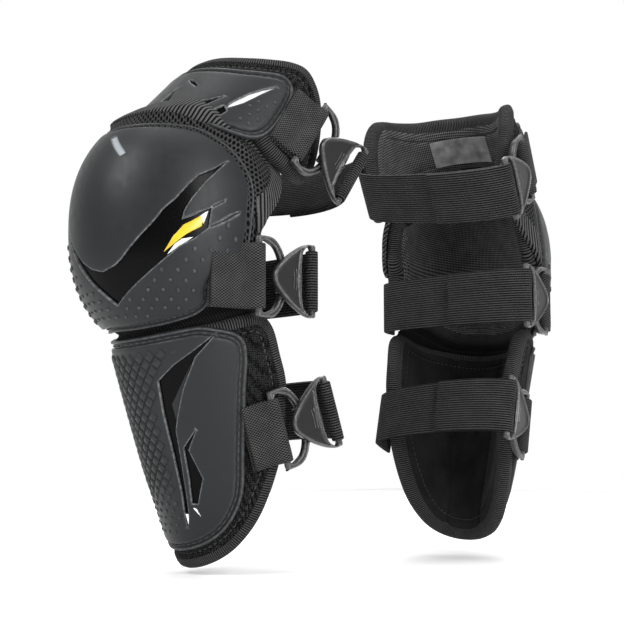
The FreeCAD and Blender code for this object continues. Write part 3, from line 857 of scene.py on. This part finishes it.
def knee_shell(side):
    loop = on_shell("knee", CUP_RIM, mirrored=True, smooth=True)
    flash = on_shell("knee", FLASH)
    windows = [flash] + [on_shell("knee", c) for c in CREASES]
    lower = on_shell("knee", STUDDED)

    def decorate(shell):
        spots = grid_in(lower, (9.6, 5.6), [flash], 3.2)
        spots = spots[loop_distance(spots, loop)[0] > 9]
        plain = np.abs(spots[:, 0] - 4) > 22
        domes(shell, spots[plain], 1.5, 1.0, 2.9)
        dashes = spots[~plain]
        domes(shell, dashes, 2.6, 0.9, 2.9, sides=8, stretch=(0.9, 0.4), turn=-0.6)

    # The first crease's floor is painted pale as a painted highlight stripe.
    floors = [("knee_flash", FLASH_FLOOR, BLACK, "gloss_trim", ["knee_flash"])]
    floors += [("knee_crease_%d" % k, CREASE_FLOOR, SHELL if k > 1 else CREASE_HIGHLIGHT_PAINT, "shell_plastic", [])
               for k in (1, 2, 3)]
    shell_piece(side, "knee_cup", "knee", loop, windows, floors, decorate)
    # The yellow blade is an inlay; the two white pieces after it are painted highlights.
    for name, points, top, material, slot, stands_for in (
            ("knee_blade", YELLOW_BLADE, 1.9, YELLOW, "yellow_trim", ["knee_blade"]),
            ("knee_corner_highlight", CORNER_HIGHLIGHT, 2.0, WHITE, "white_trim", []),
            ("knee_sliver_highlight", SLIVER_HIGHLIGHT, 1.8, WHITE, "white_trim", [])):
        trim_piece(side, name, "knee", on_shell("knee", points), top, FLASH_FLOOR + 0.05, material,
                   slot, stands_for)


# The collar: a knitted wing behind the cup, edged with a broad twill tape.
# Half lists of (angle, height): the edge runs outwards from the top's middle to the lower end, and
# the inner edge runs back from there, under the cup, to the top's middle.
COLLAR_EDGE = [(0, 69), (40, 68.3), (60, 66.7), (75, 64), (92, 59), (106, 54.5), (117, 46), (121, 36),
               (119, 25), (112, 12), (103, 0), (98, -9)]
COLLAR_INNER = [(97.5, -15), (97, -24), (93, -33), (86, -38), (80, -33), (83, -22), (86, -5), (86, 18),
                (78, 40), (62, 50), (40, 54), (0, 55)]
TAPE_STEPS = 11
TAPE_SINK = 2.4
TAPE_WIDTH = 12.0
# How far the collar's edge stands off the pad at an angle from the front, to pass over the shell.
FLARE_ANGLES, FLARE = (0, 20, 40, 50, 60, 68, 75, 84, 96, 110), (2, 3, 5.5, 7, 8.5, 9.5, 9, 6, 3, 0)


def collar_lift(points, rim):
    """The collar's height above the pad: none under the cup's rim, then rising to the flare."""
    away, _, under = loop_distance(points, rim)
    flare = np.interp(np.abs(np.degrees(points[:, 0] / ARC["knee"])), FLARE_ANGLES, FLARE)
    return np.where(under, 0, flare * smoothstep(away, 0, 7))


def knee_collar(side):
    edge = [(-a, z) for a, z in COLLAR_EDGE[:0:-1]] + COLLAR_EDGE
    inner = COLLAR_INNER + [(-a, z) for a, z in COLLAR_INNER[-2::-1]]
    edge, inner = ([pattern("knee", a, z) for a, z in points] for points in (edge, inner))
    rim = on_shell("knee", CUP_RIM, mirrored=True, smooth=True)
    patch = Patch(smooth_loop(edge + inner, 1.4), 2.6, rings=(0.8, 2.0))
    roll = (1 - np.clip(patch.edge / 4, 0, 1)) ** 2
    lift = collar_lift(patch.points, rim)
    wing = Build("knee")
    sheet_solid(wing, patch, 1.9 - 0.8 * roll + lift, 0.15 + lift, labels=(0,))
    wing.make("knee_collar", side, [SIDE_MESH], body="knee", replaces=["knee_collar"],
              slot="side_mesh")

    def tape_lift(flat):
        """As the wing, but sunk out of sight under the cup's rim."""
        away, _, under = loop_distance(flat, rim)
        return collar_lift(flat, rim) - TAPE_SINK * np.where(under, 1, smoothstep(away, 1.5, 0))

    half = TAPE_WIDTH / 2
    across = np.linspace(0.4 - half, half - 0.4, TAPE_STEPS)
    profile = [(x, 0.1) for x in across] + [(half, -0.4), (half, 2.2)]
    profile += [(x, 3.1) for x in across[::-1]] + [(-half, 2.2)]
    path = smooth_open(edge)
    tape = Build("knee")
    swept_band(tape, path - normals(path) * half, profile, closed=False, lift=tape_lift)
    tape.make("knee_tape", side, [TWILL], sharp=50, body="knee", slot="webbing")


def normals(path):
    run = np.gradient(path, axis=0)
    run /= np.linalg.norm(run, axis=1, keepdims=True)
    return np.column_stack([-run[:, 1], run[:, 0]])


def smooth_open(points, step=1.2):
    """An open Catmull-Rom curve through points."""
    pts = np.array([points[0], *points, points[-1]], float)
    out = []
    for p0, p1, p2, p3 in zip(pts, pts[1:], pts[2:], pts[3:]):
        count = max(2, int(np.linalg.norm(p2 - p1) / step))
        for t in np.arange(count) / count:
            out.append(0.5 * (2 * p1 + (p2 - p0) * t + (2 * p0 - 5 * p1 + 4 * p2 - p3) * t ** 2
                              + (3 * p1 - p0 - 3 * p2 + p3) * t ** 3))
    return np.array(out + [pts[-1]])


# ------------------------------------------------------------------ the thigh
THIGH_RIM = [(0, 88), (10, 88), (25, 88.5), (41, 91), (52.5, 95.5), (64, 100.5), (71.5, 100), (77, 95),
             (79, 86), (79.5, 70), (78, 57), (73, 48), (64, 43), (50, 40.5), (30, 40), (0, 40)]
LEAF = [(51, 57), (50.5, 60), (52, 65), (56, 74), (61, 82), (67, 89.5), (61.5, 78), (56.5, 66)]
THIGH_NOTCHES = [[(11.5, 66), (16, 50), (13, 44), (9, 48)],
                 [(31, 45), (34.5, 54), (39.5, 59), (45.5, 65), (39.5, 53.5), (35, 43.5)],
                 [(42, 43), (44.5, 50), (48.5, 58), (52, 55), (49, 44)],
                 [(15.5, 73.5), (19.5, 73), (26, 68), (25, 67), (18.5, 70.5)]]
THIGH_BUMPS = [(71, 85.5), (75, 80), (76, 60), (70, 48), (58, 48), (60.5, 57), (59, 66)]

LEAF_FLOOR, NOTCH_FLOOR = 1.5, 1.0


def thigh_shell(side):
    loop = on_shell("thigh", THIGH_RIM, mirrored=True, smooth=True)
    windows = [on_shell("thigh", LEAF)] + [on_shell("thigh", n) for n in THIGH_NOTCHES]
    spots_in = on_shell("thigh", THIGH_BUMPS)

    def decorate(shell):
        for flip in (1, -1):
            spots = grid_in(spots_in * [flip, 1], (5.5, 6), windows, 2.5)
            spots = spots[loop_distance(spots, loop)[0] > 8]
            # The last argument sets the strength of the bumps' painted highlight.
            domes(shell, spots, 1.3, 0.6, 2.9, wear=0.06)

    floors = [("thigh_leaf", LEAF_FLOOR, WHITE, "white_trim", ["thigh_leaf"])]
    floors += [("thigh_notch_%d" % k, NOTCH_FLOOR, BLACK, "gloss_trim", [])
               for k in range(1, len(windows))]
    shell_piece(side, "thigh_shell", "thigh", loop, windows, floors, decorate)


# ------------------------------------------------------------------ the shin
SHIN_RIM = [(0, -54.5), (27, -55), (41.5, -55.5), (53, -56.5), (63, -60.5), (72.5, -66), (77, -73),
            (76.5, -84), (73, -98), (68.5, -119.5), (64, -140), (60, -158), (56, -168), (49, -177.5),
            (40, -184.5), (28, -189), (14, -191), (0, -191.5)]
SLOT_LONG = [(62, -63), (48, -70), (35, -76), (23.5, -83.5), (22, -103), (22, -128), (21, -153),
             (19, -166), (18, -176), (21.5, -169), (23.5, -157), (26, -135), (27.5, -115), (31, -106),
             (37.5, -91.5), (48, -74)]
SLOT_SHORT = [(40, -117), (30, -126.5), (28.5, -146), (26, -161.5), (30, -162.5), (37, -147.5),
              (32.5, -128.5)]
SPARKS = [[(25.5, -163.5), (28.5, -164.5), (31, -173)], [(19.5, -167), (21.7, -167.5), (19.5, -177)]]

FACET = [(34.5, -91.5), (45.5, -77), (40, -89.5), (29, -111), (28.5, -99)]
# Raised diamonds, like scales, cover the front and the inner side.
SCALED = [(61, -60), (46, -66), (21, -80.5), (19.5, -103), (20, -128), (17, -160), (14, -178),
          (-20, -178), (-45, -155), (-56, -120), (-70, -80), (-70, -62), (-30, -60), (0, -60), (30, -60)]
SLOT_FLOOR = 0.9


def shin_shell(side):
    loop = on_shell("shin", SHIN_RIM, mirrored=True, smooth=True)
    windows = [on_shell("shin", slot) for slot in (SLOT_LONG, SLOT_SHORT)]
    scale_area = on_shell("shin", SCALED)

    def decorate(shell):
        spots = grid_in(scale_area, (7.2, 4.6), windows, 4.2)
        spots = spots[loop_distance(spots, loop)[0] > 8.5]
        fade = smoothstep(spots[:, 0], 44, 24) * smoothstep(spots[:, 1], -170, -135)
        size = 1.5 + 2.3 * np.clip(fade, 0, 1)
        big = size > 2.2
        # The last argument sets the strength of the studs' painted highlight.
        domes(shell, spots[big], size[big], 1.5, 2.75, sides=4, stretch=(0.92, 1.1), wear=0.02)
        domes(shell, spots[~big], size[~big] * 0.85, 0.9, 2.9, wear=0.06)

    floors = [("shin_slot", SLOT_FLOOR, BLACK, "gloss_trim", ["shin_slot"]),
              ("shin_slot_2", SLOT_FLOOR, BLACK, "gloss_trim", [])]
    shell_piece(side, "shin_shell", "shin", loop, windows, floors, decorate)
    for k, spark in enumerate(SPARKS):
        trim_piece(side, "shin_spark_%d" % (k + 1), "shin", on_shell("shin", spark), 3.15, 2.8, WHITE,
                   "white_trim")
    trim_piece(side, "shin_facet", "shin", on_shell("shin", FACET), 1.6, SLOT_FLOOR + 0.05, SHELL,
               "shell_plastic")


# ------------------------------------------------------------------ label and gussets
LABEL_HALF, LABEL_LOW, LABEL_HIGH = 22, 68, 90
LABEL_RADIUS = 43


def label(side):
    corners = [(-LABEL_HALF, LABEL_LOW), (LABEL_HALF, LABEL_LOW), (LABEL_HALF, LABEL_HIGH),
               (-LABEL_HALF, LABEL_HIGH)]
    loop = resampled([pattern("thigh", math.degrees(x / LABEL_RADIUS), z) for x, z in corners], 1.5)
    patch = Patch(loop, 1.6, rings=(0.6,))
    build = Build("thigh")
    ripple = 0.35 * np.sin(patch.points[:, 1] * 0.55) * smoothstep(patch.edge, 0, 4)
    under = -PAD_WALL - LINER_WALL - 1.35
    rise = patch.points[:, 1]
    bands = smoothstep(rise, 84.5, 85.3) + smoothstep(rise, 74.5, 73.7)
    sheet_solid(build, patch, under, under - 0.45 + ripple * 0.6, wear=bands)
    build.make("thigh_label", side, [LABEL], body="thigh", replaces=["thigh_label"],
               slot="label_satin")


GUSSET_ROWS = 14
GUSSET_WALL, PUCKER, PUCKERS = 1.2, 1.3, 3


def gusset(side, name, section, start, end, reach, depth):
    """Puckered stretch fabric that joins the knee's pad to its neighbour's, inside both. It runs from
    the knee's latitudes start(angles) to the neighbour's height end, over angles of -reach to reach."""
    angles = np.linspace(-reach, reach, 90)
    rows = []
    sag = 0.3 * depth
    for k in range(GUSSET_ROWS + 1):
        t = k / GUSSET_ROWS
        knee = raw_surface("knee", angles, start(angles), -depth)
        other = raw_surface(section, angles, end, -depth) @ SECTION_TURN[section].T
        pucker = PUCKER * math.sin(t * 2 * PUCKERS * math.pi) * math.sin(t * math.pi)
        middle = knee * (1 - t) + other * t
        out = middle * [1, 1, 0]
        out /= np.linalg.norm(out, axis=1, keepdims=True)
        rows.append(middle + out * (pucker - sag * math.sin(t * math.pi)))
    grid = np.array(rows)
    n = len(angles)
    quads = np.array([[r * n + c, r * n + c + 1, (r + 1) * n + c + 1, (r + 1) * n + c]
                      for r in range(GUSSET_ROWS) for c in range(n - 1)])
    outer = grid.reshape(-1, 3)
    inward = outer * [1, 1, 0]
    inward /= np.linalg.norm(inward, axis=1, keepdims=True)
    verts, faces, source = solid_from(outer, outer - inward * GUSSET_WALL, quads)
    run = np.linalg.norm(grid[0, 1:] - grid[0, :-1], axis=1).cumsum()
    across = np.tile(np.concatenate([[0], run]), GUSSET_ROWS + 1)
    up = np.repeat(np.linalg.norm(grid[1:, n // 2] - grid[:-1, n // 2], axis=1).cumsum(), n)
    flat = np.column_stack([across, np.concatenate([np.zeros(n), up])])
    build = Build("knee")
    if section == "shin":
        faces = [f[::-1] for f in faces]
    build.add(verts, faces, flat[source])
    piece = build.make(name, side, [STRETCH], sharp=None, slot="liner_mesh", replaces=[name])
    foot = to_world(side, "knee", raw_surface("knee", 0, start(angles).mean(), -depth)[None])[0]
    head = to_world(side, section, raw_surface(section, 0, end, -depth)[None])[0]
    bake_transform(piece)


# ------------------------------------------------------------------ webbing, straps and buckles
# Each line: the strap's height, the ring bar's (x, y), the hardware's inward turn, the webbing's
# front edge, and how far back the inner side's pad reaches at that height.
LINES = {
    "thigh": {"level": 76, "bar": (66, 9), "turn": 8, "web_front": -13, "pad_rear": 30},
    "knee": {"level": -35, "bar": (65.5, 10), "turn": 8, "web_front": -20, "pad_rear": 22},
    "shin": {"level": -132, "bar": (55.5, -8), "turn": 4, "web_front": -27, "pad_rear": 9},
}
WEB_WIDTH, WEB_WALL = 40, 2.4
STRAP_WIDTH, STRAP_WALL = 38, 2.2
BAR_RADIUS, HOOK_REACH, HOOK_RISE = 2.2, 41, 5.25
RING_WIDTH, HOOK_WIDTH = 50, 46


def buckle_points(line, along, up, out):
    """Points in the section's frame from a buckle's own: along the strap, up, and out of the leg."""
    turn = math.radians(line["turn"])
    along, up, out = np.broadcast_arrays(np.asarray(along, float), np.asarray(up, float),
                                         np.asarray(out, float))
    return np.stack([line["bar"][0] + out * math.cos(turn) - along * math.sin(turn),
                     line["bar"][1] + out * math.sin(turn) + along * math.cos(turn),
                     line["level"] + up], -1)


def band(build, route, level, width, wall):
    """A flat strap of even width along a plan route; route is (n, 2), outside on its right."""
    route = np.asarray(route, float)
    run = np.gradient(route, axis=0)
    run /= np.linalg.norm(run, axis=1, keepdims=True)
    out = np.column_stack([run[:, 1], -run[:, 0]])
    along = np.concatenate([[0], np.cumsum(np.linalg.norm(np.diff(route, axis=0), axis=1))])
    heights = np.array([-1, -0.97, -0.75, -0.5, -0.25, 0, 0.25, 0.5, 0.75, 0.97, 1]) * width / 2
    half = wall / 2 * np.array([0.45, 0.95, 1, 1, 1, 1, 1, 1, 1, 0.95, 0.45])
    ring = [*zip(heights, half), *zip(heights[::-1], -half[::-1])]
    m = len(ring)
    verts = np.array([[*(p + o * t), level + h] for p, o in zip(route, out) for h, t in ring])
    flat = np.array([[s, h] for s in along for h, _ in ring])
    faces = [[i * m + k, i * m + (k + 1) % m, (i + 1) * m + (k + 1) % m, (i + 1) * m + k]
             for i in range(len(route) - 1) for k in range(m)]
    faces += [list(range(m))[::-1], [(len(route) - 1) * m + k for k in range(m)]]
    build.add(verts, faces, flat)


def loop_round(centre, radius, start, sweep, count=22):
    """Plan points on an arc round a bar, from a start angle through a sweep, in degrees."""
    angles = np.radians(start + sweep * np.arange(count + 1) / count)
    return np.column_stack([centre[0] + radius * np.cos(angles), centre[1] + radius * np.sin(angles)])


def wall_point(section, y, level, out):
    """The plan point on a section's outer side at a depth y and a height."""
    if section == "knee":
        lat = knee_latitude(level)
        ring = abs(math.cos(math.radians(lat))) ** (2 / CUP["bottom_full"])
        wide, deep = CUP["width"] * ring, CUP["depth"] * ring
    else:
        wide = float(quadratic(TUBES[section], 1, level))
        deep = float(quadratic(TUBES[section], 2, level))
    wide, deep = wide + out, deep + out
    return (wide * math.sqrt(max(0.0, 1 - (y / deep) ** 2)), y)


def anchor(side, name):
    """Webbing sewn on the pad, round the ring's bar and back, with its end turned under."""
    line = LINES[name]
    bar, level = line["bar"], line["level"]
    ys = np.linspace(line["web_front"], bar[1] - 8, 12)
    outer = [wall_point(name, y, level, 2.0 + WEB_WALL) for y in ys]
    turn = loop_round(bar, BAR_RADIUS + WEB_WALL / 2 + 0.1, -70, 230)
    inner = [wall_point(name, y, level, 0.9) for y in ys[::-1]]
    build = Build(name)
    band(build, relaxed(np.concatenate([outer, turn, inner]), 1.2), level, WEB_WIDTH, WEB_WALL)
    build.make(name + "_anchor", side, [WEBBING], sharp=50, body=name, replaces=[name + "_anchor"],
               slot="webbing")


def relaxed(route, step):
    """An open route, evenly sampled and softened where it turns."""
    route = np.asarray(route, float)
    along = np.concatenate([[0], np.cumsum(np.linalg.norm(np.diff(route, axis=0), axis=1))])
    count = max(4, int(along[-1] / step))
    even = np.stack([np.interp(np.linspace(0, along[-1], count), along, route[:, k]) for k in (0, 1)], 1)
    for _ in range(3):
        even[1:-1] = 0.5 * even[1:-1] + 0.25 * (even[:-2] + even[2:])
    return even


SEWN_LENGTH, FOLD_SHARE = 22, 0.42


def strap(side, name):
    """Elastic from the inner side's pad, behind the leg, round the hook's bar and folded back."""
    line = LINES[name]
    level, half, rear = line["level"], STRAP_WIDTH / 2, line["pad_rear"]
    # The pad widens within the strap's width, so the strap stands clear of its widest level.
    widths = [wall_point(name, 0, level + rise, 0)[0] for rise in (-half, 0, half)]
    gap = 0.9 + STRAP_WALL / 2 + max(widths[0], widths[2]) - widths[1]
    sewn = [(-wall_point(name, y, level, gap)[0], y) for y in np.linspace(rear - SEWN_LENGTH, rear, 8)]
    start, end = sewn[-1], buckle_points(line, HOOK_REACH, 0, HOOK_RISE)[:2]
    first, last = (start[0] + 3, start[1] + 17), (end[0] - 22, end[1] + 12)
    t = np.linspace(0, 1, 40)[1:, None]
    bow = ((1 - t) ** 3 * start + 3 * t * (1 - t) ** 2 * first + 3 * t * t * (1 - t) * last
           + t ** 3 * end)
    bow = bow[np.linalg.norm(bow - end, axis=1) > BAR_RADIUS + STRAP_WALL + 1.5]
    heading = math.degrees(math.atan2(bow[-1][1] - end[1], bow[-1][0] - end[0]))
    turn = loop_round(end, BAR_RADIUS + STRAP_WALL / 2 + 0.1, heading - 60, 300)
    fold = bow + normals(bow) * (STRAP_WALL + 0.25)
    fold = fold[::-1][:int(len(fold) * FOLD_SHARE)]
    build = Build(name)
    band(build, relaxed(np.concatenate([sewn, bow, turn, fold]), 1.3), level, STRAP_WIDTH, STRAP_WALL)
    build.make(name + "_strap", side, [ELASTIC], sharp=50, body=name, replaces=[name + "_strap"],
               slot="elastic")


def buckle_plate(build, line, loop, windows, low, high, rim, rings=(0.4, 1.0, 1.8, 2.6)):
    """A moulded plate in the buckle's plane with a raised, rounded rim round its edges."""
    patch = Patch(loop, 1.5, windows, rings, (-0.4, -1.0, -1.6))
    near = np.minimum.reduce(patch.distance)
    bead = rim * np.exp(-((near - 1.0) / 0.75) ** 2)
    rounding = 0.55 * np.exp(-(near / 0.28) ** 2)
    n = len(patch.points)
    top = buckle_points(line, patch.points[:, 0], patch.points[:, 1], high + bead - rounding)
    under = buckle_points(line, patch.points[:, 0], patch.points[:, 1], np.full(n, low) + rounding)
    verts, faces, source = solid_from(top, under, patch.faces(0))
    # Painted highlight along the rims, half as strong on the underside.
    wear = np.exp(-((near - 0.8) / 0.7) ** 2)[source]
    wear[len(wear) // 2:] *= 0.5
    build.add(verts, faces, patch.points[source], wear=wear)


def bar_piece(build, line, along, out, radius, width):
    """A round bar across the buckle, with rounded ends."""
    sides, stations = 14, [(-1, 0.6), (-0.97, 0.92), (-0.93, 1), (0.93, 1), (0.97, 0.92), (1, 0.6)]
    verts, flat = [], []
    for share, size in stations:
        for k in range(sides):
            a = 2 * math.pi * k / sides
            verts.append(buckle_points(line, along + radius * size * math.cos(a), share * width / 2,
                                       out + radius * size * math.sin(a)))
            flat.append((a * radius, share * width / 2))
    faces = [[r * sides + k, (r + 1) * sides + k, (r + 1) * sides + (k + 1) % sides,
              r * sides + (k + 1) % sides] for r in range(len(stations) - 1) for k in range(sides)]
    faces += [list(range(sides)), [(len(stations) - 1) * sides + k for k in reversed(range(sides))]]
    # The whole bar gets an even painted highlight.
    build.add(np.array(verts), faces, np.array(flat), wear=np.full(len(verts), 0.45))


def ring(side, name):
    """Receiver ring: a D with a round bar behind the webbing and a cross bar for the claw."""
    line = LINES[name]
    half = RING_WIDTH / 2
    loop = smooth_loop([(-1.5, -half + 1), (-1.2, -half), (9, -half), (15, -half + 3), (19.5, -half + 9),
                        (21, -10), (21, 10), (19.5, half - 9), (15, half - 3), (9, half), (-1.2, half),
                        (-1.5, half - 1), (-1.2, 8), (-1.2, -8)], 1.0)
    window = smooth_loop([(1.5, -half + 4.5), (9, -half + 4.5), (14, -half + 8.5), (17.2, -9),
                          (17.4, 0), (17.2, 9), (14, half - 8.5), (9, half - 4.5), (1.5, half - 4.5),
                          (1.2, 0)], 1.0)
    build = Build(name)
    buckle_plate(build, line, loop, [window], -1.7, 1.7, 0.6)
    bar_piece(build, line, 0, 0, BAR_RADIUS, RING_WIDTH)
    build.make(name + "_ring", side, [BUCKLE], sharp=40, body=name + "_ring",
               replaces=[name + "_ring"], slot="buckle_plastic")


def hook(side, name):
    """Hook buckle: a shield-shaped plate with a raised rim, a claw in front and a bar behind."""
    line = LINES[name]
    half = HOOK_WIDTH / 2
    side_line = [(8.6, -4), (12, -8), (20, -14.5), (30, -20.5), (37, -half), (42, -half + 0.2),
                 (42.6, -half + 2.5)]
    mirror_line = [(a, -u) for a, u in reversed(side_line)]
    loop = smooth_loop([(7.5, 0)] + side_line + [(42.4, 0)] + mirror_line, 1.0)
    slot = smooth_loop([(33, -18.5), (39.6, -18.8), (39.6, 18.8), (33, 18.5), (31, 12), (30, 0),
                        (31, -12)], 1.0)
    build = Build(name)
    buckle_plate(build, line, loop, [slot], HOOK_RISE - 2.0, HOOK_RISE + 1.0, 1.3)
    bar_piece(build, line, HOOK_REACH, HOOK_RISE, BAR_RADIUS, HOOK_WIDTH)
    for k in range(4):
        x = 23.5 + 2.1 * k
        ridge = smooth_loop([(x, -5.5 - k), (x + 0.9, -5.8 - k), (x + 1.3, 0), (x + 0.9, 5.8 + k),
                             (x, 5.5 + k), (x + 0.4, 0)], 0.8)
        buckle_plate(build, line, ridge, [], HOOK_RISE + 0.6, HOOK_RISE + 1.5, 0.25, rings=(0.4,))
    claw_side = [(HOOK_RISE - 1.5, 13.8), (HOOK_RISE - 1.5, 16.8), (-1.2, 16.6), (-1.2, 14.6)]
    verts = np.array([buckle_points(line, a, u, o) for u in (-9, -8, 8, 9)
                      for o, a in [(o * (1 if abs(u) < 9 else 0.9), a) for o, a in claw_side]])
    faces = [[r * 4 + k, (r + 1) * 4 + k, (r + 1) * 4 + (k + 1) % 4, r * 4 + (k + 1) % 4]
             for r in range(3) for k in range(4)] + [[0, 1, 2, 3], [15, 14, 13, 12]]
    # The claw gets an even painted highlight.
    build.add(verts, faces, wear=np.full(len(verts), 0.3))
    build.make(name + "_hook", side, [BUCKLE], sharp=40, body=name + "_hook",
               replaces=[name + "_hook"], slot="buckle_plastic")


# ------------------------------------------------------------------ both guards
for side in SIDES:
    for section in ("thigh", "knee", "shin"):
        pad_pieces(side, section)
        anchor(side, section)
        ring(side, section)
        hook(side, section)
        strap(side, section)
    knee_shell(side)
    knee_collar(side)
    thigh_shell(side)
    shin_shell(side)
    label(side)
    gusset(side, "upper_gusset", "thigh", lambda a: 52 - 26 * smoothstep(np.abs(a), 55, 105), 60, 104, 11)
    gusset(side, "lower_gusset", "shin", lambda a: -48 + 19 * smoothstep(np.abs(a), 28, 78), -59.5, 90, 3.2)


# ------------------------------------------------------------------ floor, light and camera
EYE = Vector((0.6714, -0.4223, -0.1418))
LOOK = Vector((-0.783, 0.6117, 0.1132))
low, high = cad_box
centre = (low + high) / 2


FLOOR_REACH, FLOOR_DROP = 1.35, 0.004


def pale_floor():
    mesh = bpy.data.meshes.new("floor")
    corners = [(centre.x + x * FLOOR_REACH, centre.y + y * FLOOR_REACH, low.z - FLOOR_DROP)
               for x, y in ((-1, -1), (1, -1), (1, 1), (-1, 1))]
    mesh.from_pydata(corners, [], [[0, 1, 2, 3]])
    s = Shader("floor", 0.7, 0.2)
    mesh.materials.append(s.finish(s.mix(s.noise(0.3), grey(0.93), grey(0.96))))
    piece = bpy.data.objects.new("floor", mesh)
    bpy.context.collection.objects.link(piece)


def softbox(name, place, size, power):
    """An area light aimed at the middle of the pair."""
    data = bpy.data.lights.new(name, "AREA")
    data.shape = "RECTANGLE"
    data.size, data.size_y = size
    data.energy = power
    lamp = bpy.data.objects.new(name, data)
    lamp.location = Vector(place) + centre
    lamp.rotation_mode = "QUATERNION"
    lamp.rotation_quaternion = (-Vector(place)).to_track_quat("-Z", "Y")
    bpy.context.collection.objects.link(lamp)


pale_floor()
softbox("key", (0.1, -1.3, 1.0), (0.6, 0.8), 15)
softbox("side", (1.25, -0.1, 0.45), (0.4, 1.2), 14)
softbox("top", (-0.1, 0.1, 1.5), (1.2, 1.2), 12)
softbox("back", (-0.9, 0.9, 0.7), (0.5, 1.2), 7)

# The backdrop is white behind the pair and dimmer behind the camera.
world = bpy.data.worlds.new("studio")
world.use_nodes = True
nodes, links = world.node_tree.nodes, world.node_tree.links
nodes["Background"].inputs["Color"].default_value = (1, 1, 1, 1)
facing = nodes.new("ShaderNodeVectorMath")
facing.operation = "DOT_PRODUCT"
facing.inputs[1].default_value = LOOK
links.new(nodes.new("ShaderNodeTexCoord").outputs["Generated"], facing.inputs[0])
dimming = nodes.new("ShaderNodeMapRange")
for socket, value in zip(list(dimming.inputs)[1:5], (-0.4, 0.8, 0.5, 1.0)):
    socket.default_value = value
links.new(facing.outputs["Value"], dimming.inputs[0])
links.new(dimming.outputs[0], nodes["Background"].inputs["Strength"])
bpy.context.scene.world = world
bpy.context.scene.view_settings.view_transform = "Standard"

lens = bpy.data.cameras.new("camera")
lens.sensor_width, lens.lens = 36, 71.5
lens.clip_start, lens.clip_end = 0.05, 50
camera = bpy.data.objects.new("camera", lens)
camera.location = EYE
camera.rotation_mode = "QUATERNION"
camera.rotation_quaternion = LOOK.to_track_quat("-Z", "Y")
bpy.context.collection.objects.link(camera)
bpy.context.scene.camera = camera
